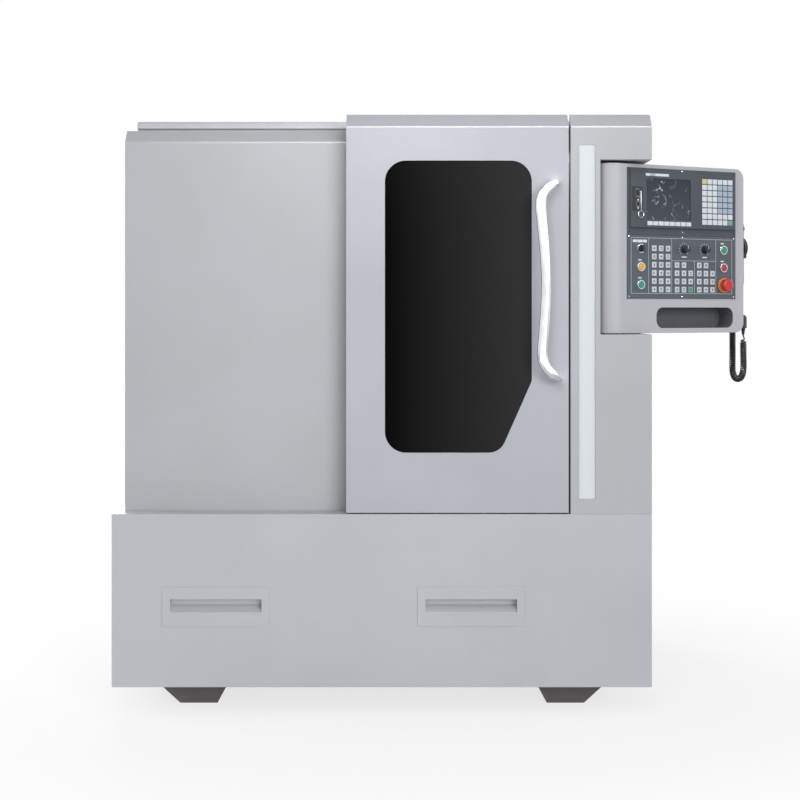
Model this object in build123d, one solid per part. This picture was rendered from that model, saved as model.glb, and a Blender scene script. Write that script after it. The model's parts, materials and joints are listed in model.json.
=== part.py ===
from build123d import *
import math
import os

os.makedirs("parts", exist_ok=True)

# Driving sizes in mm. X is to the right, -Y is the operator's side, +Z is up, the floor is Z = 0.
base_width = 1700.0
base_depth = 1300.0
base_height = 545.0
foot_height = 78.0
base_sheet = 5.0
sheet = 3.0
overrun = 5.0
slide_gap = 0.3
turn_gap = 0.05

# Levelling feet
foot_spread_x = 1180.0
foot_spread_y = 860.0
foot_bottom_width = 120.0
foot_outer_slant = 86.0
foot_inner_slant = 42.0
foot_length = 200.0
anchor_hole_radius = 9.0
anchor_hole_depth = 60.0

# Deck of the base
deck_front_rim = 150.0
deck_side_rim = 100.0
deck_rear_rim = 165.0

# Upper covers
column_cover_width = 256.0
column_cover_height = 1262.0
column_cover_depth = 266.0
column_fold = 43.0
left_cover_setback = 83.0
left_cover_inset = 28.0
left_cover_height = 1219.0
left_cover_width = 732.0
left_cover_fold = 40.0
left_cover_jamb = 45.0
rear_wall_setback = 150.0
beam_setback = 170.0
beam_thickness = 50.0
beam_height = 100.0
beam_top_drop = 8.0
beam_inset = 55.0
rail_height = 15.0
rail_thickness = 12.0
rail_below_top = 17.0

# Sliding door
door_width = 700.0
door_side_gap = 6.0
door_floor_gap = 4.0
door_thickness = 55.0
window_left_margin = 122.0
window_top_margin = 150.0
window_width = 462.0
window_height = 919.0
window_cut_width = 100.0
window_cut_height = 226.0
window_radius = 66.0
window_upper_cut_radius = 30.0
window_lower_cut_radius = 55.0
window_lap = 18.0
window_thickness = 6.0
hanger_width = 110.0
hanger_edge = 90.0
hanger_plate = 5.0
hanger_drop = 36.0
hanger_arm = 8.0
hanger_shoe = 22.0
hanger_clear = 3.0
handle_height = 626.0
handle_sweep = 64.0
handle_reach = 62.0
handle_right_margin = 32.0
handle_top_margin = 214.0
handle_section_width = 34.0
handle_section_depth = 16.0
handle_section_count = 29

# Light strip and niche in the right cover
strip_left_margin = 26.0
strip_width = 51.0
strip_height = 1113.0
strip_base_gap = 48.0
strip_depth = 5.0
strip_recess = 2.0
niche_mouth_margin = 94.0
niche_wall_margin = 66.0
niche_base_gap = 565.0
niche_height = 550.0
niche_depth = 260.0

# Chip drawers
drawer_centers = (-522.0, 282.0)
drawer_front_width = 338.0
drawer_front_height = 123.0
drawer_front_base = 192.0
drawer_front_thickness = 3.0
drawer_side_inset = 12.0
drawer_depth = 350.0
drawer_wall = 2.0
drawer_opening_gap = 2.0
grip_width = 287.0
grip_height = 40.0
grip_above_bottom = 45.0
grip_depth = 28.0
grip_slope_rise = 20.0
runner_width = 22.0
runner_thickness = 3.0

# Chip pan
pan_flange = 8.0
pan_depth = 32.0
pan_thickness = 2.0
pan_bed_gap = 4.0
pan_lip = 14.0
pan_outlet_width = 240.0
pan_outlet_length = 130.0
pan_outlet_setback = 230.0

# Casting of the bed
spindle_x = 120.0
spindle_y = -70.0
bed_front_reach = 140.0
bed_rear_y = 480.0
bed_width = 480.0
bed_plinth_width = 600.0
bed_plinth_height = 80.0
bed_way_top = 650.0
bed_way_height = 50.0
bed_way_width = 70.0
bed_way_spread = 200.0
bed_way_length = 340.0
bed_wall = 40.0
bed_cavity_height = 320.0
bed_channel_width = 110.0
bed_channel_depth = 160.0
y_bearing_length = 20.0

# Column casting
column_width = 340.0
column_front_gap = 220.0
column_depth = 330.0
column_top = 1700.0
column_wall = 30.0
column_way_width = 60.0
column_way_height = 35.0
column_way_spread = 220.0
column_way_base = 290.0
z_bearing_width = 70.0
z_bearing_length = 30.0

# Saddle and table
saddle_width = 340.0
saddle_length = 260.0
saddle_thickness = 60.0
saddle_lip_width = 34.0
saddle_lip_drop = 30.0
dovetail_top_width = 130.0
dovetail_bottom_width = 100.0
dovetail_height = 22.0
nut_width = 66.0
nut_length = 50.0
nut_below_screw = 30.0
x_groove_width = 40.0
x_groove_depth = 34.0
x_nut_length = 60.0
table_length = 650.0
table_width = 180.0
table_thickness = 76.0
t_slot_count = 3
t_slot_pitch = 50.0
t_slot_width = 14.0
t_slot_throat = 13.0
t_slot_head_width = 23.0
t_slot_head_height = 10.0
table_bracket_thickness = 25.0
table_bracket_drop = 45.0
servo_width = 90.0
servo_length = 150.0
servo_flange = 12.0
servo_flange_width = 100.0
screw_radius = 10.0
y_screw_drop = 120.0
servo_corner = 8.0

# Spindle head
nose_z = 1000.0
head_width = 340.0
head_back_thickness = 75.0
head_back_base = 150.0
head_back_height = 410.0
head_lip_depth = 24.0
head_arm_width = 220.0
head_arm_base = 130.0
head_arm_height = 300.0
head_arm_front = 110.0
head_front_radius = 60.0
housing_radius = 70.0
housing_base = 24.0
spindle_radius = 45.0
spindle_length = 380.0
spindle_nose_radius = 55.0
spindle_nose_gap = 2.0
taper_mouth_radius = 15.875
taper_depth = 48.0
taper_end_radius = 8.9
drawbar_radius = 6.5
spindle_motor_width = 130.0
spindle_motor_height = 250.0
z_nut_above_nose = 300.0
z_screw_length = 740.0

# Rear electrical cabinet
cabinet_width = 700.0
cabinet_height = 900.0
cabinet_above_deck = 80.0
cabinet_sheet = 3.0
cabinet_depth = 150.0
cabinet_door_thickness = 18.0
cabinet_door_gap = 2.0
hinge_radius = 6.0
hinge_offset = 6.0
hinge_length = 60.0
hinge_pin_radius = 3.0
hinge_pin_gap = 2.0
hinge_leaf = 40.0
hinge_end_margin = 120.0
louvre_width = 180.0
louvre_height = 8.0
louvre_pitch = 22.0
louvre_count = 7
louvre_base = 90.0
switch_plate_width = 66.0
switch_plate_thickness = 4.0
switch_below_top = 170.0
switch_shaft_radius = 8.0
switch_shaft_length = 14.0
switch_knob_radius = 24.0
switch_knob_height = 12.0
switch_bar_width = 13.0
switch_bar_height = 14.0
switch_bar_length = 52.0
door_latch_radius = 11.0
door_latch_height = 6.0
door_latch_margin = 40.0

# Work lamp behind the beam
lamp_length = 500.0
lamp_height = 44.0
lamp_depth = 34.0
lamp_left_x = -20.0
lamp_bevel = 12.0

# Swivelling control box
box_angle = 28.5
pivot_side_inset = 119.0
pivot_front_inset = 79.0
box_radius = 60.0
box_face_width = 495.0
box_base_gap = 3.0
box_top_gap = 8.0
box_corner_radius = 33.0
box_sheet = 2.5
box_back_thickness = 2.0
box_back_margin = 14.0
box_back_lap = 14.0
pin_radius = 15.0
pin_flange_radius = 24.0
pin_reach = 22.0
pin_top_gap = 1.0

# Places on the control box's face: along the face from the pivot, and above the box's bottom
panel_left = 18.0
panel_width = 440.0
panel_window_margin = 14.0
display_base = 313.0
display_height = 214.0
display_flange = 4.0
display_raise = 8.0
display_side_margin = 7.0
display_edge_margin = 12.0
display_lower_margin = 23.0
screen_left = 87.0
screen_width = 178.0
screen_base = 363.0
screen_height = 131.0
screen_recess = 3.0
screen_thickness = 5.0
soft_key_left = 90.0
soft_key_pitch = 22.2
soft_key_width = 20.0
soft_key_height = 13.0
soft_key_base = 344.0
soft_key_count = 8
mdi_left = 311.0
mdi_base = 351.0
mdi_pitch_x = 21.4
mdi_pitch_z = 18.9
mdi_key_width = 18.6
mdi_key_height = 16.2
mdi_columns = 6
mdi_rows = 8
key_raise = 1.5
port_left = 32.0
port_base = 390.0
port_width = 40.0
port_height = 76.0
port_thickness = 2.0
port_pit = 6.0
usb_width = 16.0
usb_height = 24.0
usb_above = 44.0
serial_width = 11.0
serial_height = 17.0
serial_above = 12.0
operator_base = 110.0
operator_height = 202.0
operator_thickness = 3.0
operator_key_size = 18.0
operator_key_raise = 1.2
key_pitch_z = 26.3
key_first_z = 140.0
key_full_places = (124.0, 151.6, 179.3)
key_full_rows = 6
key_half_places = (215.7, 243.7, 271.0, 306.4, 334.0, 361.0)
key_half_rows = 3
key_top_places = (215.7, 243.7, 306.4, 334.0)
left_column_s = 71.0
right_column_s = 407.0
upper_button_z = 270.0
middle_button_z = 212.0
lower_button_z = 155.0
button_radius = 11.0
button_fit = 0.3
button_raise = 7.0
button_depth = 13.0
bezel_radius = 14.75
bezel_height = 4.0
knob_places = (245.0, 329.0)
knob_radius = 13.0
knob_cap_radius = 10.5
knob_skirt = 5.0
knob_height = 19.0
knob_lift = 0.5
knob_shaft_radius = 4.0
knob_pointer = 3.0
selector_bar_width = 8.0
selector_bar_height = 11.0
estop_radius = 20.0
estop_stem_radius = 12.0
estop_head_height = 16.0
estop_reach = 29.0
estop_dome = 5.0
estop_collar_radius = 24.0
estop_collar_height = 6.0
pocket_left = 136.0
pocket_width = 314.0
pocket_base = 16.0
pocket_height = 66.0
pocket_radius = 25.0
pocket_depth = 70.0
pocket_wall = 2.0

# Hand pendant on the control box's right side
pendant_bracket_thickness = 2.0
pendant_bracket_inset = 8.0
pendant_thickness = 34.0
pendant_width = 75.0
pendant_height = 215.0
pendant_base = 154.0
pendant_center_y = 18.0
pendant_radius = 12.0
pendant_relief_radius = 9.0
pendant_relief_length = 15.0
pendant_lip = 26.0
wheel_radius = 38.0
wheel_above_bottom = 128.0
wheel_gap = 4.0
wheel_thickness = 14.0
wheel_shaft_radius = 8.0
wheel_hub_height = 4.0
crank_radius = 8.0
crank_height = 20.0
crank_offset = 26.0
pendant_knob_radius = 10.0
pendant_knob_height = 12.0
pendant_knob_spread = 34.0
pendant_knob_above = 192.0

# Curly cord of the pendant, drawn as one fat tube
cord_radius = 12.0
gland_radius = 12.0
gland_nut_radius = 15.0
gland_nut_thickness = 5.0
gland_front_y = -36.0
gland_base = 14.0
gland_height = 32.0
cord_drop = 175.0
cord_side_share = 0.06

deck_z = foot_height + base_height
front_y = -base_depth / 2
rear_y = base_depth / 2
right_x = base_width / 2
left_x = -base_width / 2
rear_wall_y = rear_y - rear_wall_setback
cover_top = deck_z + column_cover_height
left_cover_top = deck_z + left_cover_height
column_left = right_x - column_cover_width
left_cover_x = left_x + left_cover_inset
left_cover_y = front_y + left_cover_setback
beam_y = front_y + beam_setback
door_right = column_left - door_side_gap
door_left = door_right - door_width
door_base = deck_z + door_floor_gap
door_back = front_y + door_thickness
niche_base = deck_z + niche_base_gap
niche_top = niche_base + niche_height
niche_back = front_y + niche_depth
fold_share = 2 - math.sqrt(2)
saddle_base = bed_way_top + slide_gap
saddle_top = saddle_base + saddle_thickness
table_base = saddle_top + slide_gap
table_top = table_base + table_thickness
x_screw_z = saddle_top - x_groove_depth / 2 + dovetail_height / 2
y_screw_z = bed_way_top - y_screw_drop
bed_front = spindle_y - bed_front_reach
bed_base = foot_height + base_sheet
column_front = spindle_y + column_front_gap
column_way_front = column_front - column_way_height
z_screw_y = column_front - column_way_height / 2
pivot_x = right_x - pivot_side_inset
pivot_y = front_y + pivot_front_inset
box_bottom = niche_base + box_base_gap
box_top = niche_top - box_top_gap
box_height = box_top - box_bottom
face_y = -box_radius


def block(x0, x1, y0, y1, z0, z1):
    return Pos((x0 + x1) / 2, (y0 + y1) / 2, (z0 + z1) / 2) * Box(x1 - x0, y1 - y0, z1 - z0)


def rod_x(radius, x0, x1, y, z):
    return Pos((x0 + x1) / 2, y, z) * Rot(0, 90, 0) * Cylinder(radius, x1 - x0)


def rod_y(radius, y0, y1, x, z):
    return Pos(x, (y0 + y1) / 2, z) * Rot(90, 0, 0) * Cylinder(radius, y1 - y0)


def rod_z(radius, z0, z1, x, y):
    return Pos(x, y, (z0 + z1) / 2) * Cylinder(radius, z1 - z0)


def along_x(points, x0, x1):
    face = make_face(Polyline(*points, close=True))
    return extrude(Plane.YZ.offset(x0) * face, amount=x1 - x0)


def along_y(face, y0, y1):
    return extrude(Plane.XZ.offset(-y1) * face, amount=y1 - y0)


def rounded_slab(x0, x1, z0, z1, radius, y0, y1):
    face = Pos((x0 + x1) / 2, (z0 + z1) / 2) * RectangleRounded(x1 - x0, z1 - z0, radius)
    return along_y(face, y0, y1)


def hood(x0, x1, y0, y1, z0, z1, fold):
    points = [(y0, z0), (y0, z1 - fold), (y0 + fold, z1), (y1, z1), (y1, z0)]
    return along_x(points, x0, x1)


def at_box(shape):
    return Pos(pivot_x, pivot_y, 0) * Rot(0, 0, box_angle) * shape


def fuse(pieces):
    body = pieces[0]
    for piece in pieces[1:]:
        body = body + piece
    return body


def save(node, *shapes):
    solids = [s for shape in shapes for s in shape.solids()]
    body = solids[0] if len(solids) == 1 else Compound(solids)
    export_step(body, f"parts/{node}.step")


# Base, feet and drawers
def levelling_foot(side_x, side_y):
    half = foot_bottom_width / 2
    outer = half + foot_outer_slant
    inner = half + foot_inner_slant
    points = [(-inner, foot_height), (-half, 0), (half, 0), (outer, foot_height)]
    face = make_face(Polyline(*points, close=True))
    foot = along_y(face, -foot_length / 2, foot_length / 2)
    foot = foot - rod_z(anchor_hole_radius, -overrun, anchor_hole_depth, 0, 0)
    turn = 0 if side_x > 0 else 180
    return Pos(side_x * foot_spread_x / 2, side_y * foot_spread_y / 2, 0) * Rot(0, 0, turn) * foot


def levelling_feet():
    return [levelling_foot(sx, sy) for sx in (-1, 1) for sy in (-1, 1)]


def drawer_box(center, grow):
    half = drawer_front_width / 2 - drawer_side_inset + grow
    low = foot_height + drawer_front_base + drawer_side_inset - grow
    high = foot_height + drawer_front_base + drawer_front_height - drawer_side_inset + grow
    return center - half, center + half, low, high


def base_cabinet():
    body = block(left_x, right_x, front_y, rear_y, foot_height, deck_z)
    inner = block(left_x + base_sheet, right_x - base_sheet, front_y + base_sheet, rear_y - base_sheet,
                  foot_height + base_sheet, deck_z - base_sheet)
    mouth = block(left_x + deck_side_rim, right_x - deck_side_rim, front_y + deck_front_rim,
                  rear_y - deck_rear_rim, deck_z - base_sheet - overrun, deck_z + overrun)
    body = body - inner - mouth
    for center in drawer_centers:
        x0, x1, z0, z1 = drawer_box(center, drawer_opening_gap)
        body = body - block(x0, x1, front_y - overrun, front_y + base_sheet + overrun, z0, z1)
    return body


def chip_drawer(center):
    z0 = foot_height + drawer_front_base
    x_half = drawer_front_width / 2
    plate = block(center - x_half, center + x_half, front_y - drawer_front_thickness, front_y,
                  z0, z0 + drawer_front_height)
    tx0, tx1, tz0, tz1 = drawer_box(center, 0)
    back = front_y + drawer_depth
    tray = block(tx0, tx1, front_y, back, tz0, tz1)
    tray = tray - block(tx0 + drawer_wall, tx1 - drawer_wall, front_y + drawer_wall, back - drawer_wall,
                        tz0 + drawer_wall, tz1 + overrun)
    g0 = z0 + grip_above_bottom
    g1 = g0 + grip_height
    cup_back = front_y + grip_depth
    gx0 = center - grip_width / 2
    gx1 = center + grip_width / 2
    cup = block(gx0 - drawer_wall, gx1 + drawer_wall, front_y, cup_back, g0 - drawer_wall, g1 + drawer_wall)
    void = block(gx0, gx1, front_y - drawer_front_thickness - overrun, cup_back - drawer_wall, g0, g1)
    slope = along_x([(front_y, g0), (cup_back - drawer_wall, g0 + grip_slope_rise),
                     (cup_back - drawer_wall, g0)],
                    gx0, gx1)
    return plate + tray + cup - void + slope


def drawer_runners():
    rails = []
    for center in drawer_centers:
        x0, x1, z0, z1 = drawer_box(center, slide_gap)
        y0 = front_y + base_sheet
        y1 = front_y + drawer_depth
        for wall, inward in ((x0, 1), (x1, -1)):
            shelf = sorted((wall - inward * runner_thickness, wall + inward * runner_width))
            side = sorted((wall - inward * runner_thickness, wall))
            leg = block(*side, y0, y1, z0 - runner_thickness, z0 + runner_width)
            rails.append(leg + block(*shelf, y0, y1, z0 - runner_thickness, z0))
    return rails


def chip_pan():
    x0 = left_x + deck_side_rim
    x1 = right_x - deck_side_rim
    y0 = front_y + deck_front_rim
    y1 = rear_y - deck_rear_rim
    low = deck_z - pan_depth
    flange = block(x0 - pan_flange, x1 + pan_flange, y0 - pan_flange, y1 + pan_flange, deck_z,
                   deck_z + pan_thickness)
    pan = flange + block(x0 + slide_gap, x1 - slide_gap, y0 + slide_gap, y1 - slide_gap, low, deck_z)
    inset = slide_gap + pan_thickness
    pan = pan - block(x0 + inset, x1 - inset, y0 + inset, y1 - inset, low + pan_thickness, deck_z + overrun)
    rear = front_y + column_cover_depth + slide_gap
    pan = pan - block(column_left - slide_gap, right_x, front_y, rear, deck_z, deck_z + overrun)
    half = bed_width / 2 + pan_bed_gap
    lip = pan_bed_gap + pan_thickness
    bx0 = spindle_x - bed_width / 2 - lip
    bx1 = spindle_x + bed_width / 2 + lip
    by0 = bed_front - lip
    by1 = bed_rear_y + lip
    pan = pan + block(bx0, bx1, by0, y1 - inset, low, low + pan_lip)
    pan = pan - block(spindle_x - half, spindle_x + half, bed_front - pan_bed_gap, by1, low - overrun,
                      deck_z + overrun)
    for center in drawer_centers:
        oy = front_y + pan_outlet_setback
        pan = pan - block(center - pan_outlet_width / 2, center + pan_outlet_width / 2,
                          oy - pan_outlet_length / 2,
                          oy + pan_outlet_length / 2, low - overrun, low + pan_thickness + overrun)
    return pan


# Covers, beam and rail
def left_cover():
    x1 = left_cover_x + left_cover_width
    fold = left_cover_fold
    y_end = beam_y
    front = hood(left_cover_x, x1, left_cover_y, y_end, deck_z, left_cover_top, fold)
    hollow = hood(left_cover_x + sheet, x1 - sheet, left_cover_y + sheet, y_end + overrun, deck_z - overrun,
                  left_cover_top - sheet, fold - sheet * fold_share)
    front = front - hollow
    jamb_y = left_cover_y + left_cover_jamb
    front = front - block(x1 - sheet - overrun, x1 + overrun, jamb_y, y_end + overrun, deck_z - overrun,
                          left_cover_top - sheet)
    side = block(left_cover_x, left_cover_x + sheet, y_end - sheet, rear_wall_y, deck_z, left_cover_top)
    return front + side


def right_cover():
    y1 = front_y + column_cover_depth
    body = hood(column_left, right_x, front_y, y1, deck_z, cover_top, column_fold)
    hollow = hood(column_left + sheet, right_x - sheet, front_y + sheet, y1 - sheet, deck_z - overrun,
                  cover_top - sheet, column_fold - sheet * fold_share)
    wall_x = column_left + niche_wall_margin
    mouth_x = column_left + niche_mouth_margin
    lining = block(wall_x - sheet, right_x, front_y, niche_back + sheet, niche_base - sheet,
                   niche_top + sheet)
    void = block(wall_x, right_x + overrun, front_y + sheet, niche_back, niche_base, niche_top)
    mouth = block(mouth_x, right_x + overrun, front_y - overrun, front_y + sheet + overrun, niche_base,
                  niche_top)
    s0 = column_left + strip_left_margin
    z0 = deck_z + strip_base_gap
    slot = block(s0, s0 + strip_width, front_y - overrun, front_y + sheet + overrun, z0, z0 + strip_height)
    return body - (hollow - lining) - void - mouth - slot


def right_side_cover():
    return block(right_x - sheet, right_x, front_y + column_cover_depth, rear_wall_y, deck_z,
                 left_cover_top)


def rear_cover():
    return block(left_cover_x + sheet, right_x - sheet, rear_wall_y - sheet, rear_wall_y, deck_z,
                 left_cover_top)


def door_rail_beam():
    x0 = left_cover_x + beam_inset - left_cover_inset
    z1 = cover_top - beam_top_drop
    body = block(x0, column_left, beam_y, beam_y + beam_thickness, cover_top - beam_height, z1)
    inner = block(x0 - overrun, column_left + overrun, beam_y + sheet, beam_y + beam_thickness - sheet,
                  cover_top - beam_height + sheet, z1 - sheet)
    return body - inner


def door_rail():
    x0 = left_cover_x + beam_inset - left_cover_inset
    z1 = cover_top - rail_below_top
    return block(x0, column_left, beam_y - rail_thickness, beam_y, z1 - rail_height, z1)


def light_strip():
    x0 = column_left + strip_left_margin
    z0 = deck_z + strip_base_gap
    return block(x0, x0 + strip_width, front_y + strip_recess, front_y + strip_depth, z0, z0 + strip_height)


def work_lamp():
    y0 = beam_y + beam_thickness
    y1 = y0 + lamp_depth
    z1 = cover_top - beam_height + lamp_height
    z0 = cover_top - beam_height
    points = [(y0, z0), (y1 - lamp_bevel, z0), (y1, z0 + lamp_bevel), (y1, z1), (y0, z1)]
    return along_x(points, lamp_left_x, lamp_left_x + lamp_length)


# Sliding door
def window_face(grow):
    x0 = door_left + window_left_margin - grow
    x1 = door_left + window_left_margin + window_width + grow
    z1 = cover_top - window_top_margin + grow
    z0 = cover_top - window_top_margin - window_height - grow
    points = [(x0, z1), (x1, z1), (x1, z0 + window_cut_height), (x1 - window_cut_width, z0), (x0, z0)]
    radii = [window_radius, window_radius, window_upper_cut_radius, window_lower_cut_radius, window_radius]
    return make_face(FilletPolyline(*points, radius=[r + grow for r in radii], close=True))


def door_panel():
    pan = hood(door_left, door_right, front_y, door_back, door_base, cover_top, column_fold)
    hollow = hood(door_left + sheet, door_right - sheet, front_y + sheet, door_back + overrun,
                  door_base + sheet,
                  cover_top - sheet, column_fold - sheet * fold_share)
    return pan - hollow - along_y(window_face(0), front_y - overrun, front_y + sheet + overrun)


def door_window():
    return along_y(window_face(window_lap), front_y + sheet, front_y + sheet + window_thickness)


def door_hanger(x):
    x0 = x - hanger_width / 2
    x1 = x + hanger_width / 2
    z0 = left_cover_top + hanger_clear
    z1 = z0 + hanger_drop
    shoe_y = beam_y - slide_gap
    plate = block(x0, x1, door_back, door_back + hanger_plate, z0, z1)
    ears = block(x0, x1, door_back - hanger_plate, door_back, z1 - hanger_arm + hanger_clear,
                 cover_top - sheet)
    arm = block(x0, x1, door_back, shoe_y, z0, z0 + hanger_arm)
    shoe = block(x0, x1, shoe_y - rail_thickness - hanger_shoe, shoe_y, z0, z1)
    top = cover_top - rail_below_top + slide_gap
    low = cover_top - rail_below_top - rail_height - slide_gap
    slot = block(x0 - overrun, x1 + overrun, beam_y - rail_thickness - slide_gap, beam_y + overrun, low,
                 top)
    return plate + ears + arm + shoe - slot


def door_hangers():
    return [door_hanger(door_left + hanger_edge), door_hanger(door_right - hanger_edge)]


handle_path_shares = (
    (0.87, 0.0, 1.0), (0.83, 0.78, 0.995), (0.0, 0.9, 0.915), (0.36, 1.0, 0.5), (0.1, 0.9, 0.085),
    (0.94, 0.78, 0.005), (1.0, 0.0, 0.0),
)


bend_share = 0.45


def bend_radii(places):
    runs = [b - a for a, b in zip(places, places[1:])]
    radii = []
    for before, after in zip(runs, runs[1:]):
        turn = math.radians(before.get_angle(after))
        radii.append(bend_share * min(before.length, after.length) / math.tan(turn / 2))
    return radii


# The grip is broad at its bends, a little slimmer in the middle, and narrow where it meets the door
handle_end_share = 0.62
handle_bend_share = 0.16
handle_waist_share = 0.18


def handle_width(share):
    from_end = min(share, 1 - share)
    grown = handle_end_share + (1 - handle_end_share) * min(1, from_end / handle_bend_share)
    past_bend = max(0, from_end - handle_bend_share) / (1 / 2 - handle_bend_share)
    return handle_section_width * (grown - handle_waist_share * past_bend)


def door_handle():
    x0 = door_right - handle_right_margin - handle_sweep
    z0 = cover_top - handle_top_margin - handle_height
    places = [Vector(x0 + handle_sweep * a, front_y - handle_reach * b, z0 + handle_height * c)
              for a, b, c in handle_path_shares]
    path = FilletPolyline(*places, radius=bend_radii(places))
    sections = []
    # Sections lie closer together toward the bends at both ends
    for i in range(handle_section_count):
        run = i / (handle_section_count - 1)
        share = run * run * (3 - 2 * run)
        plane = Plane(path @ share, x_dir=(1, 0, 0), z_dir=path % share)
        sections.append(plane * Ellipse(handle_width(share) / 2, handle_section_depth / 2))
    trim = block(door_left, door_right, front_y, door_back, door_base, cover_top)
    return loft(sections).solid() - trim


# Castings and axes
def bed_casting():
    half = bed_width / 2
    x0 = spindle_x - half
    x1 = spindle_x + half
    top = bed_way_top - bed_way_height
    plinth = bed_plinth_width / 2
    body = block(x0, x1, bed_front, bed_rear_y, bed_base, top)
    body = body + block(spindle_x - plinth, spindle_x + plinth, bed_front, bed_rear_y, bed_base,
                        bed_base + bed_plinth_height)
    body = body - block(x0 + bed_wall, x1 - bed_wall, bed_front + bed_wall, bed_rear_y - bed_wall,
                        bed_base - overrun,
                        bed_base + bed_cavity_height)
    way_end = bed_front + bed_way_length
    for side in (-1, 1):
        wx = spindle_x + side * bed_way_spread / 2
        body = body + block(wx - bed_way_width / 2, wx + bed_way_width / 2, bed_front, way_end, top,
                            bed_way_top)
    seat = column_width / 2
    body = body + block(spindle_x - seat, spindle_x + seat, column_front, bed_rear_y, top, bed_way_top)
    channel = bed_channel_width / 2
    body = body - block(spindle_x - channel, spindle_x + channel, bed_front + y_bearing_length,
                        way_end - y_bearing_length,
                        bed_way_top - bed_channel_depth, bed_way_top + overrun)
    return body - rod_y(screw_radius + turn_gap, bed_front - overrun, way_end, spindle_x, y_screw_z)


def column_casting():
    x0 = spindle_x - column_width / 2
    x1 = spindle_x + column_width / 2
    y1 = column_front + column_depth
    body = block(x0, x1, column_front, y1, bed_way_top, column_top)
    body = body - block(x0 + column_wall, x1 - column_wall, column_front + column_wall, y1 - column_wall,
                        bed_way_top - overrun, column_top - column_wall)
    z0 = bed_way_top + column_way_base
    for side in (-1, 1):
        wx = spindle_x + side * column_way_spread / 2
        body = body + block(wx - column_way_width / 2, wx + column_way_width / 2, column_way_front,
                            column_front, z0, column_top)
    half = z_bearing_width / 2
    for z in (z0, column_top - z_bearing_length):
        body = body + block(spindle_x - half, spindle_x + half, column_way_front, column_front, z,
                            z + z_bearing_length)
    return body - rod_z(screw_radius + turn_gap, z0 - overrun, column_top + overrun, spindle_x, z_screw_y)


def dovetail(x0, x1, grow):
    low = dovetail_bottom_width / 2 + grow
    high = dovetail_top_width / 2 + grow
    top = saddle_top + dovetail_height + grow
    points = [(spindle_y - low, saddle_top - grow), (spindle_y - high, top), (spindle_y + high, top),
              (spindle_y + low, saddle_top - grow)]
    return along_x(points, x0, x1)


def saddle():
    x0 = spindle_x - saddle_width / 2
    x1 = spindle_x + saddle_width / 2
    y0 = spindle_y - saddle_length / 2
    y1 = spindle_y + saddle_length / 2
    body = block(x0, x1, y0, y1, saddle_base, saddle_top) + dovetail(x0, x1, 0)
    lip = (bed_way_spread + bed_way_width) / 2 + slide_gap
    for side in (-1, 1):
        edge = sorted((spindle_x + side * lip, spindle_x + side * (lip + saddle_lip_width)))
        body = body + block(*edge, y0, y1, bed_way_top - saddle_lip_drop, saddle_base)
    groove = x_groove_width / 2
    nut = x_nut_length / 2
    cut = block(x0 - overrun, x1 + overrun, spindle_y - groove, spindle_y + groove,
                saddle_top + dovetail_height - x_groove_depth, saddle_top + dovetail_height + overrun)
    keep = block(spindle_x - nut, spindle_x + nut, spindle_y - groove, spindle_y + groove,
                 saddle_top + dovetail_height - x_groove_depth, saddle_top + dovetail_height)
    body = body - (cut - keep) - rod_x(screw_radius + turn_gap, x0, x1, spindle_y, x_screw_z)
    nut_half = nut_width / 2
    lug = block(spindle_x - nut_half, spindle_x + nut_half, spindle_y - nut_length / 2,
                spindle_y + nut_length / 2,
                y_screw_z - nut_below_screw, saddle_base)
    return body + (lug - rod_y(screw_radius + turn_gap, y0, y1, spindle_x, y_screw_z))


def work_table():
    x0 = spindle_x - table_length / 2
    x1 = spindle_x + table_length / 2
    half = table_width / 2
    body = block(x0, x1, spindle_y - half, spindle_y + half, table_base, table_top)
    body = body - dovetail(x0 - overrun, x1 + overrun, slide_gap)
    for i in range(t_slot_count):
        y = spindle_y + (i - (t_slot_count - 1) / 2) * t_slot_pitch
        throat = t_slot_width / 2
        head = t_slot_head_width / 2
        z = table_top - t_slot_throat
        body = body - block(x0 - overrun, x1 + overrun, y - throat, y + throat, z, table_top + overrun)
        body = body - block(x0 - overrun, x1 + overrun, y - head, y + head, z - t_slot_head_height, z)
    bracket_top = table_top - t_slot_throat - t_slot_head_height - slide_gap
    low = x_screw_z - table_bracket_drop
    for outer in (x0 - table_bracket_thickness, x1):
        plate = block(outer, outer + table_bracket_thickness, spindle_y - half, spindle_y + half, low,
                      bracket_top)
        body = body + (plate - rod_x(screw_radius + turn_gap, outer, outer + table_bracket_thickness,
                                     spindle_y, x_screw_z))
    return body


def servo(start, direction):
    half = servo_width / 2
    flange = servo_flange_width / 2
    body = block(-half, half, -half, half, servo_flange, servo_length)
    body = chamfer(body.edges().filter_by(Axis.Z), servo_corner)
    motor = body + block(-flange, flange, -flange, flange, 0, servo_flange)
    return Plane(start, z_dir=direction) * motor


def axis_motors():
    y_motor = servo((spindle_x, bed_front, y_screw_z), (0, -1, 0))
    z_motor = servo((spindle_x, z_screw_y, column_top), (0, 0, 1))
    return [y_motor, z_motor]


def x_motor():
    x = spindle_x + table_length / 2 + table_bracket_thickness
    return servo((x, spindle_y, x_screw_z), (1, 0, 0))


def x_screw():
    half = table_length / 2 + table_bracket_thickness
    return rod_x(screw_radius, spindle_x - half, spindle_x + half, spindle_y, x_screw_z)


def y_screw():
    return rod_y(screw_radius, bed_front, bed_front + bed_way_length, spindle_x, y_screw_z)


def z_screw():
    return rod_z(screw_radius, column_top - z_screw_length, column_top, spindle_x, z_screw_y)


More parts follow.
